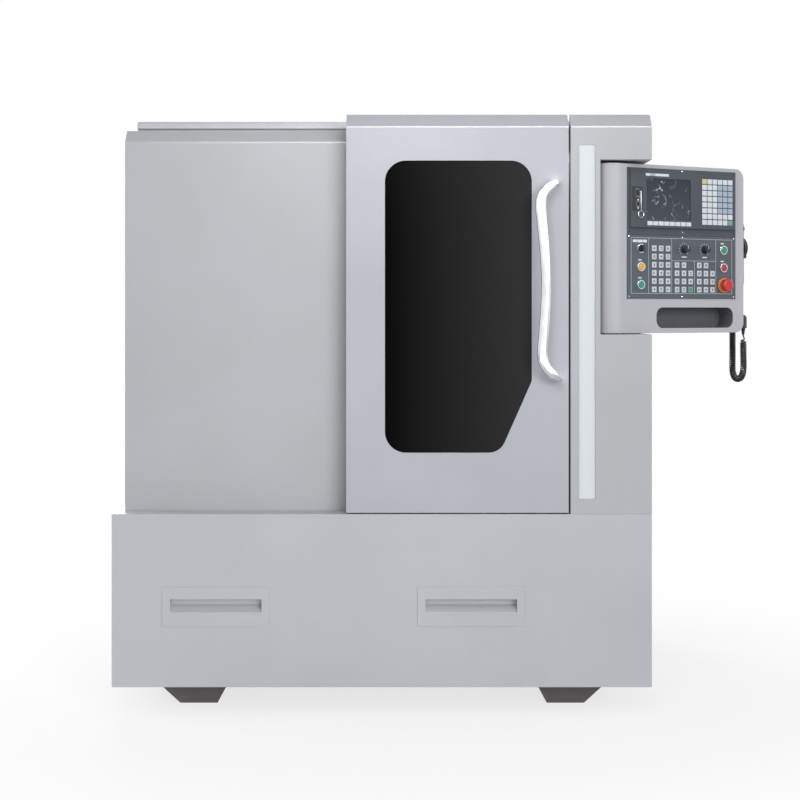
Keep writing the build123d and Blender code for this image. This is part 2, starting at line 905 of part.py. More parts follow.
def spindle_head():
    half = head_width / 2
    y1 = column_way_front - slide_gap
    y0 = y1 - head_back_thickness
    z0 = nose_z + head_back_base
    z1 = z0 + head_back_height
    body = block(spindle_x - half, spindle_x + half, y0, y1, z0, z1)
    lip = (column_way_spread + column_way_width) / 2 + slide_gap
    for side in (-1, 1):
        edge = sorted((spindle_x + side * lip, spindle_x + side * half))
        body = body + block(*edge, y1, y1 + head_lip_depth, z0, z1)
    arm_half = head_arm_width / 2
    a0 = nose_z + head_arm_base
    arm = block(spindle_x - arm_half, spindle_x + arm_half, spindle_y - head_arm_front, y0, a0,
                a0 + head_arm_height)
    arm = fillet(arm.edges().filter_by(Axis.Z).group_by(Axis.Y)[0], head_front_radius)
    body = body + arm + rod_z(housing_radius, nose_z + housing_base, a0, spindle_x, spindle_y)
    nut = nut_width / 2
    n0 = nose_z + z_nut_above_nose
    back = z_screw_y + screw_radius + turn_gap + slide_gap
    lug = block(spindle_x - nut, spindle_x + nut, y1, back + slide_gap, n0, n0 + nut_length)
    body = body + (lug - rod_z(screw_radius + turn_gap, n0, n0 + nut_length, spindle_x, z_screw_y))
    bore_top = nose_z + spindle_length + spindle_nose_gap
    return body - rod_z(spindle_radius + turn_gap, nose_z, bore_top, spindle_x, spindle_y)


def spindle():
    top = spindle_length
    collar = housing_base - spindle_nose_gap
    points = [(drawbar_radius, taper_depth), (taper_end_radius, taper_depth), (taper_mouth_radius, 0),
              (spindle_nose_radius, 0), (spindle_nose_radius, collar), (spindle_radius, collar),
              (spindle_radius, top), (drawbar_radius, top)]
    face = Plane.XZ * make_face(Polyline(*points, close=True))
    return Pos(spindle_x, spindle_y, nose_z) * revolve(face, Axis.Z)


def spindle_motor():
    half = spindle_motor_width / 2
    z0 = nose_z + head_arm_base + head_arm_height
    body = block(spindle_x - half, spindle_x + half, spindle_y - half, spindle_y + half, z0,
                 z0 + spindle_motor_height)
    return chamfer(body.edges().filter_by(Axis.Z), servo_corner)


# Rear electrical cabinet
cabinet_x0 = spindle_x - cabinet_width / 2
cabinet_x1 = spindle_x + cabinet_width / 2
cabinet_z0 = deck_z + cabinet_above_deck
cabinet_z1 = cabinet_z0 + cabinet_height
cabinet_back = rear_wall_y + cabinet_depth
hinge_x = cabinet_x1 + hinge_offset
hinge_y = cabinet_back + cabinet_door_gap + cabinet_door_thickness / 2
hinge_places = (cabinet_z0 + hinge_end_margin, cabinet_z1 - hinge_end_margin - hinge_length)


def electrical_cabinet():
    body = block(cabinet_x0, cabinet_x1, rear_wall_y, cabinet_back, cabinet_z0, cabinet_z1)
    t = cabinet_sheet
    body = body - block(cabinet_x0 + t, cabinet_x1 - t, rear_wall_y + t, cabinet_back + overrun,
                        cabinet_z0 + t, cabinet_z1 - t)
    for z in hinge_places:
        middle = z + hinge_length / 2
        knuckle = rod_z(hinge_radius, z, middle, hinge_x, hinge_y)
        leaf = block(cabinet_x1, cabinet_x1 + t, cabinet_back - hinge_leaf, hinge_y, z, middle)
        pin = rod_z(hinge_pin_radius, middle, z + hinge_length - hinge_pin_gap, hinge_x, hinge_y)
        body = body + knuckle + leaf + pin
    return body


def electrical_door():
    y0 = cabinet_back + cabinet_door_gap
    y1 = y0 + cabinet_door_thickness
    t = cabinet_sheet
    x1 = cabinet_x1 - cabinet_door_gap
    body = block(cabinet_x0, x1, y0, y1, cabinet_z0, cabinet_z1)
    body = body - block(cabinet_x0 + t, x1 - t, y0 - overrun, y1 - t, cabinet_z0 + t, cabinet_z1 - t)
    for z in hinge_places:
        low = z + hinge_length / 2
        knuckle = rod_z(hinge_radius, low, z + hinge_length, hinge_x, hinge_y)
        leaf = block(x1 - t, hinge_x, hinge_y - t / 2, hinge_y + t / 2, low, z + hinge_length)
        body = body + knuckle + leaf - rod_z(hinge_pin_radius + turn_gap, low,
                                             z + hinge_length - hinge_pin_gap, hinge_x, hinge_y)
    for i in range(louvre_count):
        z = cabinet_z0 + louvre_base + i * louvre_pitch
        cut = block(spindle_x - louvre_width / 2, spindle_x + louvre_width / 2, y1 - t - overrun,
                    y1 + overrun, z, z + louvre_height)
        body = body - cut
    sz = cabinet_z1 - switch_below_top
    half = switch_plate_width / 2
    body = body + block(spindle_x - half, spindle_x + half, y1, y1 + switch_plate_thickness, sz - half,
                        sz + half)
    latch_z = (cabinet_z0 + cabinet_z1) / 2
    body = body + rod_y(door_latch_radius, y1, y1 + door_latch_height, cabinet_x0 + door_latch_margin,
                        latch_z)
    return body - rod_y(switch_shaft_radius + turn_gap, y1 - t - overrun,
                        y1 + switch_plate_thickness + overrun, spindle_x, sz)


def main_switch_knob():
    y1 = cabinet_back + cabinet_door_gap + cabinet_door_thickness + switch_plate_thickness + slide_gap
    z = cabinet_z1 - switch_below_top
    disc = rod_y(switch_knob_radius, y1, y1 + switch_knob_height, spindle_x, z)
    half = switch_bar_width / 2
    reach = switch_bar_length / 2
    top = y1 + switch_knob_height
    bar = block(spindle_x - half, spindle_x + half, top, top + switch_bar_height, z - reach, z + reach)
    shaft = rod_y(switch_shaft_radius, y1 - switch_shaft_length, y1, spindle_x, z)
    return disc + bar + shaft


# Control box: its own directions are X along the face, +Y into the box; at_box turns it to its place
def box_prism(shrink):
    r = box_radius - shrink
    face = Circle(r) + Pos(box_face_width / 2 - shrink / 2, 0) * Rectangle(box_face_width - shrink, 2 * r)
    body = extrude(Pos(0, 0, box_bottom + shrink) * face, amount=box_height - 2 * shrink)
    corners = body.edges().filter_by(Axis.Y).group_by(Axis.X)[-1]
    return fillet(corners, box_corner_radius - shrink)


def on_face(z):
    return box_bottom + z


def control_box_shell():
    body = box_prism(0)
    wall = pocket_wall
    pz0 = on_face(pocket_base)
    pocket_x1 = pocket_left + pocket_width
    cup_back = face_y + pocket_depth
    cup = rounded_slab(pocket_left - wall, pocket_x1 + wall, pz0 - wall, pz0 + pocket_height + wall,
                       pocket_radius + wall, face_y, cup_back + wall)
    void = rounded_slab(pocket_left, pocket_x1, pz0, pz0 + pocket_height, pocket_radius, face_y - overrun,
                        cup_back)
    body = body - (box_prism(box_sheet) - cup) - void
    for base, height in ((display_base, display_height), (operator_base, operator_height)):
        m = panel_window_margin
        body = body - block(panel_left + m, panel_left + panel_width - m, face_y - overrun,
                            face_y + box_sheet + overrun,
                            on_face(base + m), on_face(base + height - m))
    m = box_back_margin + box_back_lap
    body = body - block(m, box_face_width - m, box_radius - box_sheet - overrun, box_radius + overrun,
                        box_bottom + m, box_top - m)
    body = body - rod_z(pin_radius + turn_gap, box_bottom - overrun, box_bottom + box_sheet + overrun, 0, 0)
    return body - rod_z(pin_radius + turn_gap, box_top - box_sheet - overrun, box_top + overrun, 0, 0)


def control_box_back():
    m = box_back_margin
    return block(m, box_face_width - m, box_radius, box_radius + box_back_thickness, box_bottom + m,
                 box_top - m)


def swivel_pins():
    low = rod_z(pin_flange_radius, niche_base, box_bottom, 0, 0) + rod_z(pin_radius, box_bottom,
                                                                         box_bottom + pin_reach, 0, 0)
    high = rod_z(pin_flange_radius, box_top + pin_top_gap, niche_top, 0, 0)
    high = high + rod_z(pin_radius, box_top - pin_reach, box_top + pin_top_gap, 0, 0)
    return [low, high]


display_front = face_y - display_flange - display_raise
operator_front = face_y - operator_thickness


def display_unit():
    x0 = panel_left
    x1 = panel_left + panel_width
    z0 = on_face(display_base)
    z1 = z0 + display_height
    body = block(x0, x1, face_y - display_flange, face_y, z0, z1)
    raised = block(x0 + display_side_margin, x1 - display_side_margin, display_front,
                   face_y - display_flange,
                   z0 + display_lower_margin, z1 - display_edge_margin)
    body = body + raised
    s0 = on_face(screen_base)
    screen = block(screen_left, screen_left + screen_width, display_front - overrun, face_y + overrun, s0,
                   s0 + screen_height)
    p0 = on_face(port_base)
    depth = display_front + port_pit
    for width, height, above in ((usb_width, usb_height, usb_above),
                                 (serial_width, serial_height, serial_above)):
        cx = port_left + port_width / 2
        body = body - block(cx - width / 2, cx + width / 2, display_front - overrun, depth, p0 + above,
                            p0 + above + height)
    return body - screen


def display_screen():
    s0 = on_face(screen_base)
    y0 = display_front + screen_recess
    return block(screen_left, screen_left + screen_width, y0, y0 + screen_thickness, s0, s0 + screen_height)


def display_keys():
    keys = []
    y0 = display_front - key_raise
    for i in range(soft_key_count):
        x = soft_key_left + i * soft_key_pitch
        z = on_face(soft_key_base)
        keys.append(block(x, x + soft_key_width, y0, display_front, z, z + soft_key_height))
    for i in range(mdi_columns):
        for j in range(mdi_rows):
            x = mdi_left + i * mdi_pitch_x
            z = on_face(mdi_base + j * mdi_pitch_z)
            keys.append(block(x, x + mdi_key_width, y0, display_front, z, z + mdi_key_height))
    return keys


def port_plate():
    p0 = on_face(port_base)
    cx = port_left + port_width / 2
    y0 = display_front - port_thickness
    body = block(port_left, port_left + port_width, y0, display_front, p0, p0 + port_height)
    for width, height, above in ((usb_width, usb_height, usb_above),
                                 (serial_width, serial_height, serial_above)):
        body = body - block(cx - width / 2, cx + width / 2, y0 - overrun, display_front + overrun,
                            p0 + above, p0 + above + height)
    return body


push_places = {
    "amber_button": (left_column_s, middle_button_z),
    "left_green_button": (left_column_s, lower_button_z),
    "right_green_button": (right_column_s, upper_button_z),
    "red_button": (right_column_s, middle_button_z),
}


def operator_panel():
    x1 = panel_left + panel_width
    z0 = on_face(operator_base)
    body = block(panel_left, x1, operator_front, face_y, z0, z0 + operator_height)
    holes = [(s, z, button_radius + button_fit) for s, z in push_places.values()]
    holes.append((left_column_s, upper_button_z, button_radius + button_fit))
    holes.append((right_column_s, lower_button_z, estop_stem_radius + button_fit))
    holes += [(s, upper_button_z, knob_shaft_radius + turn_gap) for s in knob_places]
    for s, z, radius in holes:
        body = body - rod_y(radius, operator_front - overrun, face_y + overrun, s, on_face(z))
    return body


def operator_keys():
    half = operator_key_size / 2
    y0 = operator_front - operator_key_raise
    places = [(s, key_first_z + j * key_pitch_z) for s in key_full_places for j in range(key_full_rows)]
    places += [(s, key_first_z + j * key_pitch_z) for s in key_half_places for j in range(key_half_rows)]
    places += [(s, key_first_z + key_half_rows * key_pitch_z) for s in key_top_places]
    return [block(s - half, s + half, y0, operator_front, on_face(z) - half, on_face(z) + half) for s,
            z in places]


def button_bezels():
    rings = []
    for s, z in list(push_places.values()) + [(left_column_s, upper_button_z)]:
        ring = rod_y(bezel_radius, operator_front - bezel_height, operator_front, s, on_face(z))
        hole = rod_y(button_radius + button_fit, operator_front - bezel_height - overrun,
                     operator_front + overrun, s, on_face(z))
        rings.append(ring - hole)
    return rings


def push_button(s, z):
    return rod_y(button_radius, operator_front - button_raise, operator_front + button_depth, s, on_face(z))


def mode_selector():
    z = on_face(upper_button_z)
    top = operator_front - button_raise
    body = rod_y(button_radius, top, operator_front + button_depth, left_column_s, z)
    half = selector_bar_width / 2
    reach = button_radius - slide_gap
    return body + block(left_column_s - half, left_column_s + half, top - selector_bar_height, top,
                        z - reach, z + reach)


def override_knob(s):
    z = on_face(upper_button_z)
    y1 = operator_front - knob_lift
    skirt = rod_y(knob_radius, y1 - knob_skirt, y1, s, z)
    cap = rod_y(knob_cap_radius, y1 - knob_height, y1 - knob_skirt, s, z)
    shaft = rod_y(knob_shaft_radius, y1, operator_front + button_depth, s, z)
    half = knob_pointer / 2
    top = y1 - knob_height
    pointer = block(s - half, s + half, top - half, top, z, z + knob_cap_radius - half)
    return skirt + cap + shaft + pointer


def estop_collar():
    z = on_face(lower_button_z)
    ring = rod_y(estop_collar_radius, operator_front - estop_collar_height, operator_front,
                 right_column_s, z)
    return ring - rod_y(estop_stem_radius + button_fit, operator_front - estop_collar_height - overrun,
                        operator_front + overrun, right_column_s, z)


def estop_button():
    z = on_face(lower_button_z)
    top = operator_front - estop_reach
    head = rod_y(estop_radius, top, top + estop_head_height, right_column_s, z)
    head = fillet(head.edges().group_by(Axis.Y)[0], estop_dome)
    return head + rod_y(estop_stem_radius, top + estop_head_height, operator_front + button_depth,
                        right_column_s, z)


# Pendant: stands on the control box's right side, and faces away from it
pendant_x0 = box_face_width + pendant_bracket_thickness
pendant_x1 = pendant_x0 + pendant_thickness
pendant_z0 = box_bottom + pendant_base
pendant_y0 = pendant_center_y - pendant_width / 2
pendant_y1 = pendant_center_y + pendant_width / 2
wheel_z = pendant_z0 + wheel_above_bottom
knob_z = pendant_z0 + pendant_knob_above


def pendant_case():
    body = block(pendant_x0, pendant_x1, pendant_y0, pendant_y1, pendant_z0, pendant_z0 + pendant_height)
    body = fillet(body.edges().filter_by(Axis.X), pendant_radius)
    cx = (pendant_x0 + pendant_x1) / 2
    body = body + rod_z(pendant_relief_radius, pendant_z0 - pendant_relief_length, pendant_z0, cx,
                        pendant_center_y)
    holes = [(wheel_shaft_radius, pendant_center_y, wheel_z)]
    holes += [(knob_shaft_radius, pendant_center_y + side * pendant_knob_spread / 2,
               knob_z) for side in (-1, 1)]
    for radius, y, z in holes:
        body = body - rod_x(radius + turn_gap, pendant_x1 - button_depth - slide_gap,
                            pendant_x1 + overrun, y, z)
    return body


def pendant_bracket():
    y0 = pendant_y0 + pendant_bracket_inset
    y1 = pendant_y1 - pendant_bracket_inset
    z1 = pendant_z0 + pendant_height - pendant_bracket_inset
    plate = block(box_face_width, pendant_x0, y0, y1, pendant_z0 - pendant_bracket_thickness, z1)
    shelf_top = pendant_z0
    shelf = block(pendant_x0, pendant_x0 + pendant_lip, y0, y1, shelf_top - pendant_bracket_thickness,
                  shelf_top)
    cx = (pendant_x0 + pendant_x1) / 2
    gap = pendant_relief_radius + button_fit
    notch = block(cx - gap, cx + pendant_lip, pendant_center_y - gap, pendant_center_y + gap,
                  shelf_top - pendant_bracket_thickness - overrun, shelf_top + overrun)
    return plate + shelf - notch


def pendant_wheel():
    x0 = pendant_x1 + wheel_gap
    x1 = x0 + wheel_thickness
    disc = rod_x(wheel_radius, x0, x1, pendant_center_y, wheel_z)
    hub = rod_x(wheel_radius / 2, pendant_x1 + slide_gap, x0, pendant_center_y, wheel_z)
    boss = rod_x(wheel_shaft_radius, x1, x1 + wheel_hub_height, pendant_center_y, wheel_z)
    shaft = rod_x(wheel_shaft_radius, pendant_x1 - button_depth, pendant_x1 + slide_gap, pendant_center_y,
                  wheel_z)
    crank = rod_x(crank_radius, x1, x1 + crank_height, pendant_center_y, wheel_z - crank_offset)
    return disc + hub + boss + shaft + crank


def pendant_knob(side):
    y = pendant_center_y + side * pendant_knob_spread / 2
    x0 = pendant_x1 + knob_lift
    knob = rod_x(pendant_knob_radius, x0, x0 + pendant_knob_height, y, knob_z)
    half = knob_pointer / 2
    x1 = x0 + pendant_knob_height
    pointer = block(x1, x1 + half, y - half, y + half, knob_z, knob_z + pendant_knob_radius - half)
    return knob + pointer + rod_x(knob_shaft_radius, pendant_x1 - button_depth, x0, y, knob_z)


cord_x = (pendant_x0 + pendant_x1) / 2
cord_span = pendant_center_y - gland_front_y


def cord_gland():
    low = box_bottom + gland_base
    bend_z = low + gland_height
    nut = rod_x(gland_nut_radius, box_face_width, box_face_width + gland_nut_thickness, gland_front_y, bend_z)
    arm = rod_x(gland_radius, box_face_width, cord_x, gland_front_y, bend_z)
    outlet = rod_z(gland_radius, low, bend_z, cord_x, gland_front_y)
    return nut + arm + outlet + Pos(cord_x, gland_front_y, bend_z) * Sphere(gland_radius)


cord_down_shares = ((0.0, 0.0, 1.0), (0.0, 0.0, 0.6), (-0.04, 0.3, 0.117), (0.5, 0.0, 0.0))
cord_up_shares = ((1.04, 0.3, 0.057), (0.97, -0.3, 0.3), (1.0, 0.0, 0.65), (1.0, 0.0, 1.0))


def cord_points():
    low = box_bottom + gland_base - cord_drop
    rise = pendant_z0 - pendant_relief_length - low
    places = []
    for height, shares in ((cord_drop, cord_down_shares), (rise, cord_up_shares)):
        for a, b, c in shares:
            side = b * cord_span * cord_side_share
            places.append(Vector(cord_x + side, gland_front_y + a * cord_span, low + c * height))
    return places


def pendant_cord():
    places = cord_points()
    radii = bend_radii(places)
    print("cord bend radii", [round(r, 1) for r in radii])
    path = FilletPolyline(*places, radius=radii)
    print("cord tube length", round(path.length, 1))
    section = Plane(path @ 0, z_dir=path % 0) * Circle(cord_radius)
    return sweep(section, path=path)


save("levelling_feet", *levelling_feet())
save("base_cabinet", base_cabinet())
save("left_drawer", chip_drawer(drawer_centers[0]))
save("right_drawer", chip_drawer(drawer_centers[1]))
save("drawer_runners", *drawer_runners())
save("chip_pan", chip_pan())
save("left_cover", left_cover())
save("right_cover", right_cover())
save("right_side_cover", right_side_cover())
save("rear_cover", rear_cover())
save("door_rail_beam", door_rail_beam())
save("door_rail", door_rail())
save("light_strip", light_strip())
save("work_lamp", work_lamp())
save("door_panel", door_panel())
save("door_window", door_window())
save("door_hangers", *door_hangers())
save("door_handle", door_handle())
save("bed_casting", bed_casting())
save("column_casting", column_casting())
save("saddle", saddle())
save("work_table", work_table())
save("axis_motors", *axis_motors())
save("x_motor", x_motor())
save("x_screw", x_screw())
save("y_screw", y_screw())
save("z_screw", z_screw())
save("spindle_head", spindle_head())
save("spindle", spindle())
save("spindle_motor", spindle_motor())
save("electrical_cabinet", electrical_cabinet())
save("electrical_door", electrical_door())
save("main_switch_knob", main_switch_knob())
save("swivel_pins", *[at_box(pin) for pin in swivel_pins()])
save("control_box_shell", at_box(control_box_shell()))
save("control_box_back", at_box(control_box_back()))
save("display_unit", at_box(display_unit()))
save("display_screen", at_box(display_screen()))
save("display_keys", *[at_box(key) for key in display_keys()])
save("port_plate", at_box(port_plate()))
save("operator_panel", at_box(operator_panel()))
save("operator_keys", *[at_box(key) for key in operator_keys()])
save("button_bezels", *[at_box(ring) for ring in button_bezels()])
for name, (s, z) in push_places.items():
    save(name, at_box(push_button(s, z)))
save("mode_selector", at_box(mode_selector()))
save("spindle_override_knob", at_box(override_knob(knob_places[0])))
save("feed_override_knob", at_box(override_knob(knob_places[1])))
save("estop_collar", at_box(estop_collar()))
save("estop_button", at_box(estop_button()))
save("pendant_bracket", at_box(pendant_bracket()))
save("pendant_case", at_box(pendant_case()))
save("pendant_wheel", at_box(pendant_wheel()))
save("pendant_axis_knob", at_box(pendant_knob(-1)))
save("pendant_rate_knob", at_box(pendant_knob(1)))
save("cord_gland", at_box(cord_gland()))
save("pendant_cord", at_box(pendant_cord()))
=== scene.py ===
# %% [markdown]
# This file dresses a vertical machining centre: a sheet-metal cabinet with a sliding door, a swivelling
# control box and, behind the door, a table under a spindle. The solids already hold every size and every
# joint, so the work here is finishes, rounded edges and the small parts that a hand would feel. The frame
# loads first, and the dressed model's bounds are read at the end. One short function puts a new object
# into the scene.

# %% Frame
import json
import math

import bmesh
import bpy
from mathutils import Matrix, Vector


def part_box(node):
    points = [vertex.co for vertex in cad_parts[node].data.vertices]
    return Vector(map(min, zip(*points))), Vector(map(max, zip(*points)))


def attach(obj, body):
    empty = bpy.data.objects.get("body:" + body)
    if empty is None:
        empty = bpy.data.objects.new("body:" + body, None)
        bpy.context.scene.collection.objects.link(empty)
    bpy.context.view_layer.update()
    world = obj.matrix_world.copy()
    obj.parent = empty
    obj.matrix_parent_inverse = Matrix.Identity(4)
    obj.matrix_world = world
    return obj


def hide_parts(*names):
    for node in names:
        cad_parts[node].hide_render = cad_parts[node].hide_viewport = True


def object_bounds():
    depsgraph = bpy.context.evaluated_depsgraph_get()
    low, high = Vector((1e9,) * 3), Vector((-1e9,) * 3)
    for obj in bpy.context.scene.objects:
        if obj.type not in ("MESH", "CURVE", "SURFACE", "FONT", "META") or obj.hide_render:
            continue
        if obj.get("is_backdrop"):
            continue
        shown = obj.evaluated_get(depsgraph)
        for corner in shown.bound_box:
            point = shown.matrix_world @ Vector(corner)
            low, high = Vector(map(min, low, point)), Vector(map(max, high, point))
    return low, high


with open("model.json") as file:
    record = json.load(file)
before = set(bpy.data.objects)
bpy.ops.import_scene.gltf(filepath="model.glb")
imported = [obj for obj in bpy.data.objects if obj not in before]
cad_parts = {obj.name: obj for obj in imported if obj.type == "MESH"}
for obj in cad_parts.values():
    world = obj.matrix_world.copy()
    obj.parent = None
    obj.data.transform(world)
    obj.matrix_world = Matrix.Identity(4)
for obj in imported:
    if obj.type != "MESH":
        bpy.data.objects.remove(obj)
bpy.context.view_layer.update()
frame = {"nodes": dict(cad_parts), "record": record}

bodies_of_nodes = {n: b for b, ns in frame["record"]["behaviour"]["bodies"].items() for n in ns}


def placed(name, data):
    thing = bpy.data.objects.new(name, data)
    bpy.context.scene.collection.objects.link(thing)
    return thing


# %% [markdown]
# The camera stands level, five metres in front of the cabinet, a little above the middle of the door. A
# long lens keeps the verticals upright, and a small downward shift puts the machine in the frame without
# tilting the camera.

# %% Camera
FRONT_Y = -0.65
camera_data = bpy.data.cameras.new("front_camera")
camera_data.sensor_width = 36
camera_data.lens = 71.54
camera_data.shift_y = -0.1125
camera = placed("front_camera", camera_data)
camera.location = (0.0574, FRONT_Y - 5.0, 1.265)
camera.rotation_euler = (math.radians(90), 0, 0)
bpy.context.scene.camera = camera

# %% [markdown]
# Colours are written as the sRGB hex values one would pick from a paint card, and one function makes them
# linear. One more function adds a node: properties by name, and inputs as values or as links from other
# sockets. Pattern sizes are written in millimetres; textures want a count per metre, so a size is turned
# into its inverse.

# %% Helpers for materials
def linear(code):
    parts = [int(code[i:i + 2], 16) / 255 for i in (1, 3, 5)]
    return [p / 12.92 if p <= 0.04045 else ((p + 0.055) / 1.055) ** 2.4 for p in parts] + [1.0]


def per_metre(size_mm):
    return 1000.0 / size_mm


def add(tree, kind, inputs=None, **settings):
    made = tree.nodes.new(kind)
    for name, value in settings.items():
        setattr(made, name, value)
    for name, value in (inputs or {}).items():
        if isinstance(value, bpy.types.NodeSocket):
            tree.links.new(value, made.inputs[name])
        else:
            made.inputs[name].default_value = value
    return made


def blank(name):
    material = bpy.data.materials.new(name)
    material.use_nodes = True
    material.node_tree.nodes.clear()
    return material, material.node_tree


def close(tree, shader):
    add(tree, "ShaderNodeOutputMaterial", {"Surface": shader.outputs[0]})


# %% [markdown]
# Most surfaces here differ in the same few ways: a colour that drifts a little, a roughness that drifts
# with it, and a fine relief. Powder coat has orange peel about two millimetres across, a casting has sand
# grain, moulded plastic has spark-eroded grain. One function sets these, with the relief's size in
# millimetres and its depth in micrometres.

# %% Painted, cast and moulded finishes
def coated(name, color, deeper, rough, drift_mm=260, grain_mm=2.2, grain_um=12, metal=0.0,
           stretch=(1, 1, 1), **extra):
    material, tree = blank(name)
    place = add(tree, "ShaderNodeTexCoord")
    scaled = add(tree, "ShaderNodeMapping", {"Vector": place.outputs["Object"], "Scale": stretch})
    drift = add(tree, "ShaderNodeTexNoise",
                {"Vector": place.outputs["Object"], "Scale": per_metre(drift_mm), "Detail": 4.0})
    grain = add(tree, "ShaderNodeTexNoise",
                {"Vector": scaled.outputs[0], "Scale": per_metre(grain_mm), "Detail": 3.0})
    shade = add(tree, "ShaderNodeMix",
                {"Factor": drift.outputs["Fac"], "A": linear(deeper), "B": linear(color)},
                data_type="RGBA")
    sheen = add(tree, "ShaderNodeMapRange",
                {"Value": grain.outputs["Fac"], "To Min": rough - 0.05, "To Max": rough + 0.05})
    relief = add(tree, "ShaderNodeBump",
                 {"Height": grain.outputs["Fac"], "Distance": grain_um * 1e-6, "Strength": 1.0})
    shader = add(tree, "ShaderNodeBsdfPrincipled", {
        "Base Color": shade.outputs["Result"], "Roughness": sheen.outputs[0], "Normal": relief.outputs[0],
        "Metallic": metal, **extra})
    close(tree, shader)
    return material


# Polyester powder coat, sprayed and baked: a soft sheen with faint orange peel
cover_coat = coated("powder_coat_light_grey", "#b6b8bc", "#adaeb1", 0.42)
door_coat = coated("powder_coat_door_grey", "#b6b9c0", "#a9abb1", 0.4)
base_coat = coated("powder_coat_base_grey", "#bec0c5", "#b4b5b9", 0.45)
box_coat = coated("powder_coat_box_grey", "#bababe", "#b0b0b5", 0.45, grain_mm=1.6)
# Painted shade: a darker grey on the faces of the box's tray stands for the shade in its recess
tray_shade_paint = coated("painted_shade_in_tray", "#66676c", "#5c5d62", 0.75, drift_mm=40, grain_mm=1.2, grain_um=40)
# Sand-cast iron under machine enamel: coarse grain, some gloss
machine_enamel = coated("machine_enamel_on_casting", "#7f868c", "#747b81", 0.4, grain_mm=5, grain_um=120)
# Bare black-painted castings on the floor: dusty, rough
foot_iron = coated("dusty_foot_iron", "#6d6869", "#5a5657", 0.8, drift_mm=60, grain_mm=4, grain_um=200)
# Cold-rolled zinc-coated sheet, dull grey with a slight metallic flash
zinc_sheet = coated("zinc_plated_sheet", "#a9adb0", "#979b9e", 0.45, drift_mm=24, grain_mm=0.9, grain_um=3,
                    metal=0.7)
# Rolled rail steel with a dry, dull face
rail_steel = coated("rolled_rail_steel", "#b5b6b9", "#a4a5a8", 0.6, drift_mm=70, grain_mm=1.4, grain_um=6,
                    metal=0.2)
# Black oxide, a thin dark skin that oil makes glossy
black_oxide = coated("black_oxide_steel", "#3a3b3d", "#2c2d2f", 0.5, drift_mm=30, grain_mm=0.9, grain_um=4,
                     metal=0.5)
# Surface-ground steel: fine lines along the stroke of the wheel
ground_steel = coated("surface_ground_steel", "#b4b7ba", "#a6a9ad", 0.3, drift_mm=90, grain_mm=1.2,
                      grain_um=2, metal=1.0, stretch=(0.04, 1, 1))
# Spark-eroded ABS of panels and housings
panel_abs = coated("grained_abs_slate", "#3e454e", "#363d45", 0.55, drift_mm=70, grain_mm=0.8, grain_um=15)
membrane = coated("printed_polyester_slate", "#4e555e", "#475056", 0.5, drift_mm=50, grain_mm=0.7,
                  grain_um=6)
black_abs = coated("grained_abs_black", "#242528", "#1b1c1e", 0.45, drift_mm=30, grain_mm=0.7, grain_um=12)
motor_enamel = coated("motor_enamel_black", "#2e3033", "#232527", 0.4, drift_mm=60, grain_mm=2.0,
                      grain_um=20)
cord_sheath = coated("polyurethane_cord_sheath", "#1c1d1f", "#131415", 0.4, drift_mm=12, grain_mm=0.6,
                     grain_um=8)
# Moulded key tops and legends
KEY_SKIN = dict(drift_mm=9, grain_mm=0.6, grain_um=8)
key_white = coated("silicone_key_white", "#dde1e5", "#d1d6db", 0.55, **KEY_SKIN)
key_blue = coated("silicone_key_blue_grey", "#a9b8c8", "#9bacbe", 0.55, **KEY_SKIN)
key_yellow = coated("silicone_key_yellow", "#dccb8e", "#d0be7c", 0.55, **KEY_SKIN)
key_green = coated("silicone_key_green", "#6fae9a", "#5f9d89", 0.55, **KEY_SKIN)
key_grey = coated("silicone_key_grey", "#cfd2d6", "#c4c8cc", 0.55, **KEY_SKIN)
print_white = coated("screen_ink_white", "#dfe3e6", "#d3d8db", 0.6, drift_mm=6, grain_mm=0.4, grain_um=2)
print_dark = coated("screen_ink_dark", "#3a3f46", "#30353b", 0.6, drift_mm=6, grain_mm=0.4, grain_um=2)
# Injection-moulded coloured button caps with a clear gloss
CAP_SKIN = dict(drift_mm=8, grain_mm=0.8, grain_um=3)
amber_cap = coated("polycarbonate_amber", "#e3b04f", "#d7a141", 0.22, **CAP_SKIN)
green_cap = coated("polycarbonate_green", "#2b9d79", "#228d6a", 0.22, **CAP_SKIN)
red_cap = coated("polycarbonate_red", "#d23530", "#bf2a26", 0.25, **CAP_SKIN)
crimson_cap = coated("polycarbonate_crimson", "#b83a44", "#a8303a", 0.25, **CAP_SKIN)
collar_yellow = coated("moulded_collar_orange", "#dd8f3c", "#cf8130", 0.4, drift_mm=10, grain_mm=0.8,
                       grain_um=6)
# Moulded rubber, dry and dark
rubber_seal = coated("epdm_rubber", "#1f2022", "#161718", 0.7, drift_mm=15, grain_mm=0.9, grain_um=20)
print("materials", len(bpy.data.materials))

# %% [markdown]
# Four finishes need their own trees. The handle is satin chrome: nearly smooth, with a faint cloudiness.
# The window is dark smoked polycarbonate with a painted reflection: its colour pales towards one side,
# and its own gloss is nearly off. The screen has a few painted glints, pale narrow bands where a slow
# noise passes its middle value, and its colour is paler towards the bottom. The light strip is milky
# acrylic, paler along its middle.

# %% Chrome, smoked glass, screen and light strip
def satin_chrome(name, color, rough):
    material, tree = blank(name)
    place = add(tree, "ShaderNodeTexCoord")
    cloud = add(tree, "ShaderNodeTexNoise",
                {"Vector": place.outputs["Object"], "Scale": per_metre(35), "Detail": 5.0})
    sheen = add(tree, "ShaderNodeMapRange",
                {"Value": cloud.outputs["Fac"], "To Min": rough - 0.05, "To Max": rough + 0.08})
    shade = add(tree, "ShaderNodeMix",
                {"Factor": cloud.outputs["Fac"], "A": linear(color), "B": linear("#f2f3f4")},
                data_type="RGBA")
    shader = add(tree, "ShaderNodeBsdfPrincipled",
                 {"Base Color": shade.outputs["Result"], "Roughness": sheen.outputs[0], "Metallic": 1.0})
    close(tree, shader)
    return material


